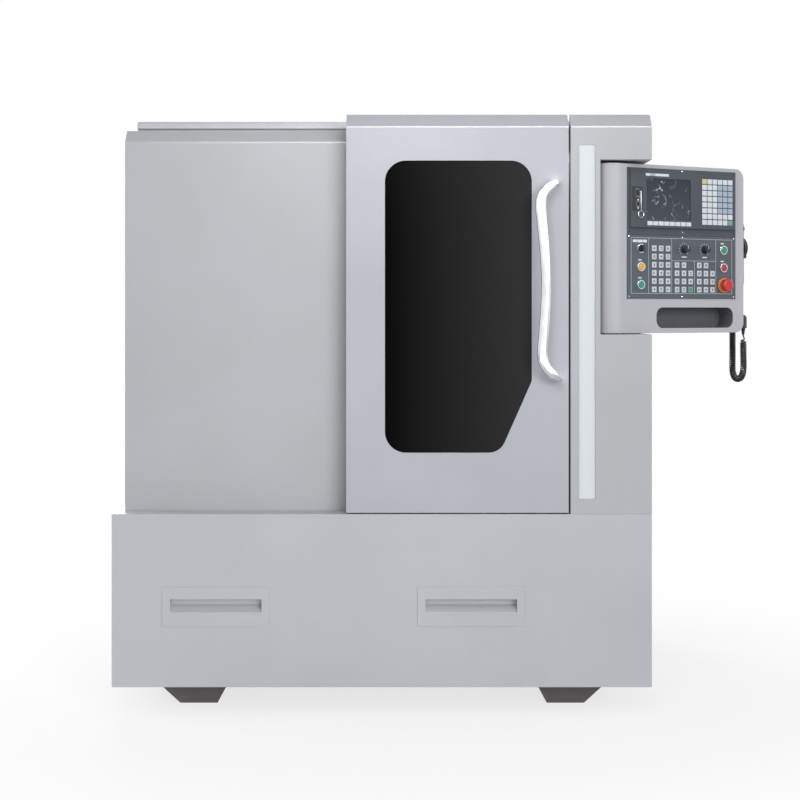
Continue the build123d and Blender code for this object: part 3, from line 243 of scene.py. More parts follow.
def window_with_painted_reflection(name, low_x, high_x):
    material, tree = blank(name)
    place = add(tree, "ShaderNodeTexCoord")
    parts = add(tree, "ShaderNodeSeparateXYZ", {"Vector": place.outputs["Object"]})
    across = add(tree, "ShaderNodeMapRange",
                 {"Value": parts.outputs["X"], "From Min": low_x, "From Max": high_x})
    cloud = add(tree, "ShaderNodeTexNoise", {"Vector": place.outputs["Object"], "Scale": per_metre(300)})
    # Painted reflection: the colour pales from near black to dark grey across the window, and the gloss is
    # nearly off.
    painted_reflection = add(tree, "ShaderNodeMix",
               {"Factor": across.outputs[0], "A": linear("#030303"), "B": linear("#333334")},
               data_type="RGBA")
    sheen = add(tree, "ShaderNodeMapRange", {"Value": cloud.outputs["Fac"], "To Min": 0.24, "To Max": 0.34})
    shader = add(tree, "ShaderNodeBsdfPrincipled", {
        "Base Color": painted_reflection.outputs["Result"], "Roughness": sheen.outputs[0], "Specular IOR Level": 0.01})
    close(tree, shader)
    return material


def screen_with_painted_glints(name):
    material, tree = blank(name)
    place = add(tree, "ShaderNodeTexCoord")
    parts = add(tree, "ShaderNodeSeparateXYZ", {"Vector": place.outputs["Object"]})
    band = add(tree, "ShaderNodeTexNoise",
               {"Vector": place.outputs["Object"], "Scale": per_metre(30), "Detail": 1.0,
                "Distortion": 0.8})
    patch = add(tree, "ShaderNodeTexNoise",
                {"Vector": place.outputs["Object"], "Scale": per_metre(26), "Detail": 0.0})
    # Painted glints: pale bands where the slow noise passes its middle stand for reflections on the glass.
    middle = add(tree, "ShaderNodeMath", {0: band.outputs["Fac"], 1: 0.5}, operation="SUBTRACT")
    middle = add(tree, "ShaderNodeMath", {0: middle.outputs[0]}, operation="ABSOLUTE")
    ridge = add(tree, "ShaderNodeMapRange",
                {"Value": middle.outputs[0], "From Max": 0.02, "To Min": 1.0, "To Max": 0.0})
    some = add(tree, "ShaderNodeMapRange",
               {"Value": patch.outputs["Fac"], "From Min": 0.52, "From Max": 0.62})
    painted_glint = add(tree, "ShaderNodeMath", {0: ridge.outputs[0], 1: some.outputs[0]}, operation="MULTIPLY")
    # The screen's dark colour is paler towards its bottom edge.
    down = add(tree, "ShaderNodeMapRange",
               {"Value": parts.outputs["Z"], "From Min": screen_low.z, "From Max": screen_high.z})
    glass = add(tree, "ShaderNodeMix",
                {"Factor": down.outputs[0], "A": linear("#41464f"), "B": linear("#2f353d")},
                data_type="RGBA")
    shade = add(tree, "ShaderNodeMix",
                {"Factor": painted_glint.outputs[0], "A": glass.outputs["Result"], "B": linear("#c4c9ce")},
                data_type="RGBA")
    relief = add(tree, "ShaderNodeBump", {"Height": painted_glint.outputs[0], "Distance": 0.0006})
    shader = add(tree, "ShaderNodeBsdfPrincipled", {
        "Base Color": shade.outputs["Result"], "Roughness": 0.16, "Normal": relief.outputs[0],
        "Specular IOR Level": 0.3})
    close(tree, shader)
    return material


def milky_acrylic(name, low_x, high_x):
    material, tree = blank(name)
    place = add(tree, "ShaderNodeTexCoord")
    parts = add(tree, "ShaderNodeSeparateXYZ", {"Vector": place.outputs["Object"]})
    across = add(tree, "ShaderNodeMapRange",
                 {"Value": parts.outputs["X"], "From Min": low_x, "From Max": high_x, "To Min": -1.0,
                  "To Max": 1.0})
    rim = add(tree, "ShaderNodeMath", {0: across.outputs[0], 1: 4.0}, operation="POWER")
    cloud = add(tree, "ShaderNodeTexNoise", {"Vector": place.outputs["Object"], "Scale": per_metre(120)})
    mixed = add(tree, "ShaderNodeMath", {0: rim.outputs[0], 1: cloud.outputs["Fac"]}, operation="MULTIPLY")
    shade = add(tree, "ShaderNodeMix",
                {"Factor": mixed.outputs[0], "A": linear("#dadee2"), "B": linear("#bcc1c5")},
                data_type="RGBA")
    shader = add(tree, "ShaderNodeBsdfPrincipled",
                 {"Base Color": shade.outputs["Result"], "Roughness": 0.3, "IOR": 1.49})
    close(tree, shader)
    return material


window_low, window_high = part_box("door_window")
strip_low, strip_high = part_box("light_strip")
screen_low, screen_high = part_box("display_screen")
chrome = satin_chrome("satin_chrome_plate", "#d7dadc", 0.22)
bezel_chrome = satin_chrome("bright_nickel_plate", "#c3c6ca", 0.15)
window_reflection_paint = window_with_painted_reflection("smoked_polycarbonate_painted_reflection", window_low.x, window_high.x)
screen = screen_with_painted_glints("screen_glass_painted_glints")
acrylic = milky_acrylic("milky_acrylic_strip", strip_low.x, strip_high.x)
lamp_acrylic = milky_acrylic("milky_acrylic_lamp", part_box("work_lamp")[0].x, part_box("work_lamp")[1].x)

# %% [markdown]
# A CAD solid has knife edges, and a real sheet or casting never has: each edge is bent, ground or moulded
# with a small radius that catches the light. So each solid is copied, its loose triangles are merged, and
# a bevel rounds the sharp edges. The long folds of the covers come from a press brake, so they are
# rounded first and more widely. Weighted normals keep the large flats flat. The copy then stands for the
# solid it came from.

# %% Dressing the solids
def settled(thing, name):
    bpy.context.view_layer.update()
    graph = bpy.context.evaluated_depsgraph_get()
    mesh = bpy.data.meshes.new_from_object(thing.evaluated_get(graph))
    mesh.name = name
    old = thing.data
    thing.modifiers.clear()
    thing.data = mesh
    if old.users == 0:
        bpy.data.meshes.remove(old)
    return thing


MERGE = 2e-6
FLAT = math.radians(0.2)
SHARP = math.radians(38)
BENT_SHEETS = ("left_cover", "right_cover", "door_panel")
BEND = 0.005
LONG_FOLD = 0.2
FOLD_ANGLES = (math.radians(20), math.radians(70))


def bent(work):
    least, most = FOLD_ANGLES
    folds = [e for e in work.edges if e.calc_length() > LONG_FOLD and least < e.calc_face_angle() < most]
    bmesh.ops.bevel(work, geom=folds, offset=BEND, segments=4, profile=0.5, affect="EDGES")


def dressed(node, material, radius_mm):
    mesh = frame["nodes"][node].data.copy()
    work = bmesh.new()
    work.from_mesh(mesh)
    bmesh.ops.remove_doubles(work, verts=work.verts, dist=MERGE)
    bmesh.ops.dissolve_limit(work, angle_limit=FLAT, verts=work.verts, edges=work.edges)
    if node in BENT_SHEETS:
        bent(work)
    clean = bpy.data.meshes.new(f"{node}_dressed")
    work.to_mesh(clean)
    work.free()
    bpy.data.meshes.remove(mesh)
    clean.shade_smooth()
    clean.set_sharp_from_angle(angle=SHARP)
    thing = placed(f"{node}_dressed", clean)
    if radius_mm:
        round_off = thing.modifiers.new("edge", "BEVEL")
        round_off.width = radius_mm / 1000
        round_off.segments = 2
        round_off.limit_method = "ANGLE"
        round_off.angle_limit = SHARP
        round_off.use_clamp_overlap = True
        flat = thing.modifiers.new("flats", "WEIGHTED_NORMAL")
        flat.keep_sharp = False
        clean.shade_smooth()
        settled(thing, f"{node}_dressed")
    thing.data.materials.clear()
    thing.data.materials.append(material)
    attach(thing, bodies_of_nodes[node])
    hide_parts(node)
    return thing


finishes = {
    "levelling_feet": (foot_iron, 5), "base_cabinet": (base_coat, 2.5), "left_drawer": (base_coat, 1),
    "right_drawer": (base_coat, 1), "drawer_runners": (zinc_sheet, 0.8), "chip_pan": (zinc_sheet, 0.6),
    "left_cover": (cover_coat, 1.4), "right_cover": (cover_coat, 1.4),
    "right_side_cover": (cover_coat, 1.2), "rear_cover": (cover_coat, 1.2),
    "door_rail_beam": (cover_coat, 1.4), "door_rail": (rail_steel, 0.8), "light_strip": (acrylic, 0.8),
    "work_lamp": (lamp_acrylic, 2), "door_panel": (door_coat, 1.4), "door_window": (window_reflection_paint, 0.8),
    "door_hangers": (zinc_sheet, 0.8), "door_handle": (chrome, 0), "bed_casting": (machine_enamel, 4),
    "column_casting": (machine_enamel, 4), "saddle": (machine_enamel, 2),
    "work_table": (ground_steel, 0.8), "axis_motors": (motor_enamel, 1.5),
    "x_motor": (motor_enamel, 1.5), "spindle_head": (machine_enamel, 4), "spindle": (ground_steel, 0.6),
    "spindle_motor": (motor_enamel, 3), "electrical_cabinet": (base_coat, 1.2),
    "electrical_door": (base_coat, 1.2), "main_switch_knob": (red_cap, 1.5),
    "swivel_pins": (black_oxide, 0.8), "control_box_shell": (box_coat, 1.1),
    "control_box_back": (box_coat, 0.8), "display_unit": (panel_abs, 1.5),
    "display_screen": (screen, 0.3), "port_plate": (black_abs, 0.5), "operator_panel": (membrane, 0.6),
    "button_bezels": (bezel_chrome, 0.7), "amber_button": (amber_cap, 1.5),
    "left_green_button": (green_cap, 1.5), "right_green_button": (green_cap, 1.5),
    "red_button": (crimson_cap, 1.5), "mode_selector": (black_abs, 1),
    "spindle_override_knob": (black_abs, 1), "feed_override_knob": (black_abs, 1),
    "estop_collar": (collar_yellow, 1.2), "estop_button": (red_cap, 0.8),
    "pendant_bracket": (zinc_sheet, 0.5), "pendant_case": (black_abs, 2),
    "pendant_wheel": (black_abs, 1), "pendant_axis_knob": (black_abs, 0.8),
    "pendant_rate_knob": (black_abs, 0.8), "cord_gland": (black_abs, 1.5),
}
for node, (material, radius_mm) in finishes.items():
    dressed(node, material, radius_mm)
print("dressed", len(finishes))

# %% [markdown]
# The tray in the control box is the same folded sheet as the box, and its faces carry painted shade: a
# darker grey that stands for the shade in the recess. Its faces are found by where they lie in the box's
# own directions, and only those faces take the darker grey.

# %% Painted shade in the tray
BOX = Matrix.Translation((0.731, -0.571, 0)) @ Matrix.Rotation(math.radians(28.5), 4, "Z")
BOX_BOTTOM = 1.191
TRAY_LOW = (0.1355, -0.0575, 0.0155)
TRAY_HIGH = (0.4505, 0.0105, 0.0825)
to_box = BOX.inverted()
shell = bpy.data.objects["control_box_shell_dressed"].data
shell.materials.append(tray_shade_paint)
shaded = 0
# Painted shade: faces inside the tray take the darker grey.
for face in shell.polygons:
    spot = to_box @ face.center - Vector((0, 0, BOX_BOTTOM))
    if all(low < value < high for low, value, high in zip(TRAY_LOW, spot, TRAY_HIGH)):
        face.material_index = 1
        shaded += 1
print("lined faces", shaded)

# %% [markdown]
# The plate behind the main switch is yellow, so that the red knob is found in a hurry. It is one solid
# with the door, so its faces are picked out in the same way.

# %% Plate of the main switch
SWITCH = Vector((0.120, 0.670, 1.433))
PLATE_PROUD = 0.0003
PLATE_HALF = 0.06
leaf = bpy.data.objects["electrical_door_dressed"].data
leaf.materials.append(collar_yellow)
for face in leaf.polygons:
    off = face.center - SWITCH
    if off.y > PLATE_PROUD and abs(off.x) < PLATE_HALF and abs(off.z) < PLATE_HALF:
        face.material_index = 1

# %% [markdown]
# The box's own directions make its face easy to lay out: x along the face, y into the box, z up. One
# matrix turns that flat drawing to where the box hangs. Small parts are drawn there in metres and then
# turned with it.

# %% Drawing on the control box
DISPLAY_Y = -0.072
OPERATOR_Y = -0.063


def slab(work, x0, x1, y0, y1, z0, z1, finish=0, edge=0.0):
    made = bmesh.ops.create_cube(work, size=1.0)["verts"]
    bmesh.ops.scale(work, vec=(x1 - x0, y1 - y0, z1 - z0), verts=made)
    bmesh.ops.translate(work, vec=((x0 + x1) / 2, (y0 + y1) / 2, (z0 + z1) / 2), verts=made)
    if edge:
        edges = list({e for v in made for e in v.link_edges})
        made = bmesh.ops.bevel(work, geom=edges, offset=edge, segments=2, profile=0.5,
                               affect="EDGES")["verts"]
    for face in {f for v in made for f in v.link_faces}:
        face.material_index = finish
    return made


def piece(name, work, materials, body, turn=None):
    bmesh.ops.recalc_face_normals(work, faces=work.faces)
    mesh = bpy.data.meshes.new(name)
    work.to_mesh(mesh)
    work.free()
    if turn:
        mesh.transform(turn)
    mesh.shade_smooth()
    mesh.set_sharp_from_angle(angle=SHARP)
    for material in materials:
        mesh.materials.append(material)
    thing = placed(name, mesh)
    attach(thing, body)
    return thing


# %% [markdown]
# The display unit has eight soft keys under its screen and a pad of six by eight keys beside it. On the
# real unit they are silicone key tops in a few colours. They are drawn one by one, because the colours
# follow no grid.

# %% Key tops of the display unit
def key_color(column, row):
    if (column, row) == (0, 7):
        return 2
    if (column, row) == (5, 0):
        return 3
    return 1 if column >= 3 and 2 <= row <= 6 else 0


KEY_Y = DISPLAY_Y - 0.0015
KEY_EDGE = 0.0006
SOFT_X, SOFT_STEP, SOFT_WIDE = 0.090, 0.0222, 0.020
SOFT_LOW, SOFT_HIGH = BOX_BOTTOM + 0.344, BOX_BOTTOM + 0.357
PAD_X, PAD_STEP_X, PAD_WIDE = 0.311, 0.0214, 0.0186
PAD_Z, PAD_STEP_Z, PAD_TALL = BOX_BOTTOM + 0.351, 0.0189, 0.0162
work = bmesh.new()
for i in range(8):
    x = SOFT_X + i * SOFT_STEP
    slab(work, x, x + SOFT_WIDE, KEY_Y, DISPLAY_Y, SOFT_LOW, SOFT_HIGH, 0, KEY_EDGE)
for i in range(6):
    for j in range(8):
        x = PAD_X + i * PAD_STEP_X
        z = PAD_Z + j * PAD_STEP_Z
        slab(work, x, x + PAD_WIDE, KEY_Y, DISPLAY_Y, z, z + PAD_TALL, key_color(i, j), KEY_EDGE)
tops = piece("display_key_tops", work, [key_white, key_blue, key_yellow, key_green], "control_box",
             BOX)
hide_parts("display_keys")

# %% [markdown]
# The operator panel's keys stand in rows and columns that leave room for the dials. Each top carries a
# small printed sign in whole bars, and five plain signs take turns.

# %% Key tops of the operator panel
INK = 0.0002
KEY_HALF = 0.009
KEY_FRONT = OPERATOR_Y - 0.0012 + INK
KEY_MARKS = [
    [(-4.5, 4.5, -0.9, 0.9), (-0.9, 0.9, -4.5, 4.5)],
    [(-4.5, 4.5, -3.6, -1.8), (-3.0, 3.0, 1.2, 4.2)],
    [(-4.2, 4.2, -0.9, 0.9), (-4.2, -2.4, -4.0, 4.0)],
    [(-1.6, 1.6, -4.6, 2.0), (-3.6, 3.6, 2.0, 3.4)],
    [(-4.4, 4.4, 2.2, 3.8), (-4.4, 4.4, -0.8, 0.8), (-4.4, 4.4, -3.8, -2.2)],
]
KEY_ROWS = [BOX_BOTTOM + 0.140 + j * 0.0263 for j in range(6)]
key_places = [(s, z) for s in (0.124, 0.1516, 0.1793) for z in KEY_ROWS]
key_places += [(s, z) for s in (0.2157, 0.2437, 0.271, 0.3064, 0.334, 0.361) for z in KEY_ROWS[:3]]
key_places += [(s, KEY_ROWS[3]) for s in (0.2157, 0.2437, 0.3064, 0.334)]
work = bmesh.new()
for number, (s, z) in enumerate(key_places):
    green = s == 0.271 and z == KEY_ROWS[0]
    slab(work, s - KEY_HALF, s + KEY_HALF, KEY_FRONT, OPERATOR_Y, z - KEY_HALF, z + KEY_HALF,
         1 if green else 0, 0.0005)
    for x0, x1, z0, z1 in KEY_MARKS[number % len(KEY_MARKS)]:
        slab(work, s + x0 / 1000, s + x1 / 1000, KEY_FRONT - INK, KEY_FRONT,
             z + z0 / 1000, z + z1 / 1000, 2)
tops = piece("operator_key_tops", work, [key_grey, key_green, print_dark], "control_box", BOX)
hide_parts("operator_keys")
print("operator keys", len(key_places))

# %% [markdown]
# The operator panel is a printed overlay: white lines part the groups of keys, and two dials have tick
# marks round their knobs. The ink is drawn as slabs a fifth of a millimetre proud, so that it survives in
# the exported model.

# %% Printed lines
work = bmesh.new()
INK_Y = OPERATOR_Y - INK
LINE = 0.0009
DIALS = (("spindle", 0.245), ("feed", 0.329))
DIAL_Z = 1.461


def rule(x0, z0, x1, z1):
    half = LINE / 2
    slab(work, min(x0, x1) - half, max(x0, x1) + half, INK_Y, OPERATOR_Y,
         min(z0, z1) - half, max(z0, z1) + half)


left, right, low, high, middle = 0.033, 0.442, 1.318, 1.495, 1.424
rule(left, low, right, low)
rule(left, high, right, high)
for s in (left, 0.102, 0.194, 0.375, right):
    rule(s, low, s, high)
rule(0.287, low, 0.287, middle)
rule(0.194, middle, 0.375, middle)
for i in range(3):
    slab(work, 0.0400 + i * 0.0188, 0.0575 + i * 0.0188, INK_Y, OPERATOR_Y, 1.4805, 1.4890)
for s, z in ((0.067, 1.4245), (0.067, 1.3675), (0.402, 1.4825), (0.402, 1.4245)):
    slab(work, s - 0.0065, s + 0.0065, INK_Y, OPERATOR_Y, z - 0.0019, z + 0.0019)
for label, s in DIALS:
    slab(work, s - 0.010, s + 0.010, INK_Y, OPERATOR_Y, 1.4345, 1.4380)
piece("operator_panel_ink", work, [print_white], "control_box", BOX)

# %% [markdown]
# Beside the screen is a small plate with two sockets: each has a folded metal shell round a dark tongue.
# The upper one's cap hangs on a strap with a split ring. Above the screen is a plain printed strip.

# %% Sockets, strap and strip
work = bmesh.new()
PLATE_X = 0.052
SHELL = 0.0008
for half, z0, z1 in ((0.008, 1.625, 1.649), (0.0055, 1.593, 1.610)):
    for x0, x1, low_z, high_z in (
            (-half, -half + SHELL, z0, z1), (half - SHELL, half, z0, z1),
            (-half, half, z0, z0 + SHELL), (-half, half, z1 - SHELL, z1)):
        slab(work, PLATE_X + x0, PLATE_X + x1, DISPLAY_Y - 0.0012, DISPLAY_Y + 0.004, low_z, high_z)
    slab(work, PLATE_X - half * 0.35, PLATE_X + half * 0.35, DISPLAY_Y - 0.0002, DISPLAY_Y + 0.004,
         z0 + 0.003, z1 - 0.003, 1)
for z in (1.5885, 1.6145):
    made = bmesh.ops.create_cone(work, cap_ends=True, segments=6, radius1=0.0032, radius2=0.0032,
                                 depth=0.003)["verts"]
    bmesh.ops.rotate(work, verts=made, matrix=Matrix.Rotation(math.radians(90), 3, "X"))
    bmesh.ops.translate(work, verts=made, vec=(PLATE_X, DISPLAY_Y - 0.0013, z))
slab(work, 0.084, 0.176, DISPLAY_Y - 0.0003, DISPLAY_Y, 1.6925, 1.7005, 2)
slab(work, 0.100, 0.122, DISPLAY_Y - 0.0004, DISPLAY_Y, 1.6925, 1.7005, 3)
slab(work, 0.0620, 0.0650, DISPLAY_Y - 0.0034, DISPLAY_Y - 0.0022, 1.5785, 1.6440, 0, 0.0004)
RING = Vector((0.0625, DISPLAY_Y - 0.0032, 1.5690))
RING_RADIUS = 0.0105
RING_WIRE = 0.0009
rings = []
for i in range(36):
    a = 2 * math.pi * i / 36
    out = Vector((math.cos(a), 0, math.sin(a)))
    ring = []
    for k in range(8):
        b = 2 * math.pi * k / 8
        reach = out * (RING_RADIUS + RING_WIRE * math.cos(b))
        ring.append(work.verts.new(RING + reach + Vector((0, RING_WIRE * math.sin(b), 0))))
    rings.append(ring)
for a, b in zip(rings, rings[1:] + rings[:1]):
    for k in range(8):
        work.faces.new((a[k], a[(k + 1) % 8], b[(k + 1) % 8], b[k]))
piece("display_sockets", work, [bezel_chrome, black_abs, print_white, key_blue], "control_box",
      BOX)

# %% [markdown]
# Dial marks follow an arc, which is a rule, so Geometry Nodes draw them: each point's own number gives
# its angle, a small bar is set on it, and the bar is turned to face the knob. The tree's inputs are the
# dial's sizes, so one tree draws every dial of the machine. A short function opens such a tree with a
# socket for each size.

# %% Dial marks
def grower(name, sockets):
    tree = bpy.data.node_groups.new(name, "GeometryNodeTree")
    for label, kind, value in sockets:
        made = tree.interface.new_socket(label, in_out="INPUT", socket_type=f"NodeSocket{kind}")
        if value is not None:
            made.default_value = value
    tree.interface.new_socket("Geometry", in_out="OUTPUT", socket_type="NodeSocketGeometry")
    return tree, add(tree, "NodeGroupInput")


def dial_tree():
    tree, inlet = grower("dial_marks", [
        ("Radius", "Float", 0.018), ("Start", "Float", 0.0), ("Step", "Float", 0.4), ("Marks", "Int", 13),
        ("Length", "Float", 0.003), ("Width", "Float", 0.0007), ("Ink", "Material", None)])
    number = add(tree, "GeometryNodeInputIndex")
    angle = add(tree, "ShaderNodeMath",
                {0: number.outputs[0], 1: inlet.outputs["Step"], 2: inlet.outputs["Start"]},
                operation="MULTIPLY_ADD")
    across = add(tree, "ShaderNodeMath", {0: angle.outputs[0]}, operation="COSINE")
    upward = add(tree, "ShaderNodeMath", {0: angle.outputs[0]}, operation="SINE")
    unit = add(tree, "ShaderNodeCombineXYZ", {"X": across.outputs[0], "Y": upward.outputs[0]})
    spot = add(tree, "ShaderNodeVectorMath", {0: unit.outputs[0], "Scale": inlet.outputs["Radius"]},
               operation="SCALE")
    dots = add(tree, "GeometryNodePoints", {"Count": inlet.outputs["Marks"], "Position": spot.outputs[0]})
    turn = add(tree, "ShaderNodeCombineXYZ", {"Z": angle.outputs[0]})
    size = add(tree, "ShaderNodeCombineXYZ",
               {"X": inlet.outputs["Length"], "Y": inlet.outputs["Width"], "Z": INK})
    bar = add(tree, "GeometryNodeMeshCube", {"Size": size.outputs[0]})
    set_down = add(tree, "GeometryNodeInstanceOnPoints",
                   {"Points": dots.outputs[0], "Instance": bar.outputs["Mesh"],
                    "Rotation": turn.outputs[0]})
    real = add(tree, "GeometryNodeRealizeInstances", {"Geometry": set_down.outputs[0]})
    inked = add(tree, "GeometryNodeSetMaterial",
                {"Geometry": real.outputs[0], "Material": inlet.outputs["Ink"]})
    add(tree, "NodeGroupOutput", {"Geometry": inked.outputs[0]})
    return tree


def grown(name, tree, values, turn, body, work=None):
    thing = placed(name, bpy.data.meshes.new(name))
    if work:
        work.to_mesh(thing.data)
        work.free()
    made = thing.modifiers.new("grow", "NODES")
    made.node_group = tree
    names = {s.name: s.identifier for s in tree.interface.items_tree if s.in_out == "INPUT"}
    for label, value in values.items():
        made[names[label]] = value
    settled(thing, name)
    thing.data.transform(turn)
    thing.data.shade_smooth()
    thing.data.set_sharp_from_angle(angle=SHARP)
    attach(thing, body)
    print(name, len(thing.data.polygons))
    return thing


TO_FRONT = Matrix.Rotation(math.radians(90), 4, "X")
TO_BACK = Matrix.Rotation(math.radians(-90), 4, "X")
TO_RIGHT = Matrix.Rotation(math.radians(90), 4, "Y")
dials = dial_tree()
for label, s in DIALS:
    face_on = BOX @ Matrix.Translation((s, OPERATOR_Y - INK / 2, DIAL_Z)) @ TO_FRONT
    marks = {"Radius": 0.0190, "Start": math.radians(-45), "Step": math.radians(27), "Marks": 11,
             "Length": 0.0045, "Width": 0.0015, "Ink": print_white}
    grown(f"{label}_dial_marks", dials, marks, face_on, "control_box")
for label, s in DIALS:
    front = min((to_box @ v.co).y for v in frame["nodes"][f"{label}_override_knob"].data.vertices)
    work = bmesh.new()
    slab(work, s - 0.0009, s + 0.0009, front - INK, front, 1.4625, 1.4715)
    piece(f"{label}_knob_pointer", work, [print_white], f"{label}_override_body", BOX)
wheel_face = BOX @ Matrix.Translation((0.549 + INK / 2, 0.018, 1.473)) @ TO_RIGHT
marks = {"Radius": 0.0345, "Start": 0.0, "Step": math.radians(3.6), "Marks": 100,
         "Length": 0.0035, "Width": 0.0005, "Ink": print_white}
grown("pendant_wheel_marks", dials, marks, wheel_face, "wheel_body")

# %% [markdown]
# Screws hold every panel, and they are all alike: a low coned head with a hexagon in it. One tree sets
# such a head on each point that it is given. The points lie in a flat drawing of the panel, and a matrix
# stands the drawing up where it belongs.

# %% Screws
def screw_tree():
    tree, inlet = grower("coned_screws", [
        ("Places", "Geometry", None), ("Radius", "Float", 0.004), ("Height", "Float", 0.002),
        ("Metal", "Material", None), ("Hollow", "Material", None)])
    crown = add(tree, "ShaderNodeMath", {0: inlet.outputs["Radius"], 1: 0.74}, operation="MULTIPLY")
    across = add(tree, "ShaderNodeMath", {0: inlet.outputs["Radius"], 1: 0.46}, operation="MULTIPLY")
    head = add(tree, "GeometryNodeMeshCone", {
        "Vertices": 20, "Radius Top": crown.outputs[0], "Radius Bottom": inlet.outputs["Radius"],
        "Depth": inlet.outputs["Height"]})
    plated = add(tree, "GeometryNodeSetMaterial",
                 {"Geometry": head.outputs["Mesh"], "Material": inlet.outputs["Metal"]})
    hexagon = add(tree, "GeometryNodeMeshCircle", {"Vertices": 6, "Radius": across.outputs[0]},
                  fill_type="NGON")
    above = add(tree, "ShaderNodeMath", {0: inlet.outputs["Height"], 1: 0.00004}, operation="ADD")
    lift = add(tree, "ShaderNodeCombineXYZ", {"Z": above.outputs[0]})
    raised = add(tree, "GeometryNodeTransform",
                 {"Geometry": hexagon.outputs["Mesh"], "Translation": lift.outputs[0]})
    dark = add(tree, "GeometryNodeSetMaterial",
               {"Geometry": raised.outputs[0], "Material": inlet.outputs["Hollow"]})
    whole = add(tree, "GeometryNodeJoinGeometry")
    tree.links.new(plated.outputs[0], whole.inputs[0])
    tree.links.new(dark.outputs[0], whole.inputs[0])
    set_down = add(tree, "GeometryNodeInstanceOnPoints",
                   {"Points": inlet.outputs["Places"], "Instance": whole.outputs[0]})
    real = add(tree, "GeometryNodeRealizeInstances", {"Geometry": set_down.outputs[0]})
    add(tree, "NodeGroupOutput", {"Geometry": real.outputs[0]})
    return tree


def points(places):
    work = bmesh.new()
    for place in places:
        work.verts.new(place)
    return work


def border(u0, u1, v0, v1, inset, count_u, count_v):
    us = [u0 + inset + (u1 - u0 - 2 * inset) * i / count_u for i in range(count_u + 1)]
    vs = [v0 + inset + (v1 - v0 - 2 * inset) * j / count_v for j in range(count_v + 1)]
    ends_u, ends_v = (us[0], us[-1]), (vs[0], vs[-1])
    return [(u, v, 0) for u in us for v in vs if u in ends_u or v in ends_v]


screws = screw_tree()
OVERLAY = Matrix.Translation((0, OPERATOR_Y, 0)) @ TO_FRONT
FLANGE = Matrix.Translation((0, -0.064, 0)) @ TO_FRONT
BOX_BACK = Matrix.Translation((0, 0.062, 0)) @ TO_BACK
REAR = Matrix.Translation((0, 0.500, 0)) @ TO_BACK
SIDE = Matrix.Translation((0.850, 0, 0)) @ TO_RIGHT
back_spots = [to_box @ v.co for v in frame["nodes"]["control_box_back"].data.vertices]
back_x = [v.x for v in back_spots]
back_z = [v.z for v in back_spots]
rear_low, rear_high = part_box("rear_cover")
side_low, side_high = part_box("right_side_cover")
screw_sets = [
    ("overlay_screws", [(s, z, 0) for s in (0.026, 0.238, 0.450) for z in (1.308, 1.4992)], 2.8, 1.0,
     bezel_chrome, BOX @ OVERLAY, "control_box"),
    ("flange_screws", [(0.238, z, 0) for z in (1.5155, 1.712)], 2.8, 1.0, bezel_chrome, BOX @ FLANGE,
     "control_box"),
    ("flange_corner_screws", [(s, z, 0) for s in (0.026, 0.450) for z in (1.5155, 1.712)], 2.8, 1.0,
     black_oxide, BOX @ FLANGE, "control_box"),
    ("box_back_screws", border(min(back_x), max(back_x), -max(back_z), -min(back_z), 0.012, 3, 3), 3.5, 2.0,
     black_oxide, BOX @ BOX_BACK, "control_box"),
    ("rear_cover_screws", border(rear_low.x, rear_high.x, -rear_high.z, -rear_low.z, 0.02, 6, 5), 5, 3.0,
     zinc_sheet, REAR, "machine_frame"),
    ("side_cover_screws", border(-side_high.z, -side_low.z, side_low.y, side_high.y, 0.02, 5, 4), 5, 3.0,
     zinc_sheet, SIDE, "machine_frame"),
]
SERVOS = {
    "y_motor": (Matrix.Translation((0.120, -0.210, 0.530)) @ TO_FRONT, "machine_frame"),
    "z_motor": (Matrix.Translation((0.120, 0.1325, 1.700)), "machine_frame"),
    "x_motor": (Matrix.Translation((0.470, -0.070, 0.7043)) @ TO_RIGHT, "table_body"),
}
for label, (stand, body) in SERVOS.items():
    corners = [(u, v, 0.012) for u in (-0.0445, 0.0445) for v in (-0.0445, 0.0445)]
    screw_sets.append((f"{label}_screws", corners, 4, 4.0, black_oxide, stand, body))
for name, places, radius_mm, height_mm, metal, turn, body in screw_sets:
    sizes = {"Radius": radius_mm / 1000, "Height": height_mm / 1000, "Metal": metal, "Hollow": black_abs}
    grown(name, screws, sizes, turn, body, points(places))

# %% [markdown]
# A second tree repeats one drawn piece in a row. The louvres of the electrical door are pressed out of
# the sheet: each is a hood over a slot, open below so that no drip runs in. The spindle motor's cooling
# ribs are a row of the same kind.

# %% Louvres and cooling ribs
def row_tree():
    tree, inlet = grower("row_of_pieces", [
        ("Piece", "Geometry", None), ("Count", "Int", 7), ("Step", "Vector", (0, 0, 0.022)),
        ("Finish", "Material", None)])
    line = add(tree, "GeometryNodeMeshLine",
               {"Count": inlet.outputs["Count"], "Offset": inlet.outputs["Step"]}, mode="OFFSET")
    set_down = add(tree, "GeometryNodeInstanceOnPoints",
                   {"Points": line.outputs[0], "Instance": inlet.outputs["Piece"]})
    real = add(tree, "GeometryNodeRealizeInstances", {"Geometry": set_down.outputs[0]})
    painted = add(tree, "GeometryNodeSetMaterial",
                  {"Geometry": real.outputs[0], "Material": inlet.outputs["Finish"]})
    add(tree, "NodeGroupOutput", {"Geometry": painted.outputs[0]})
    return tree


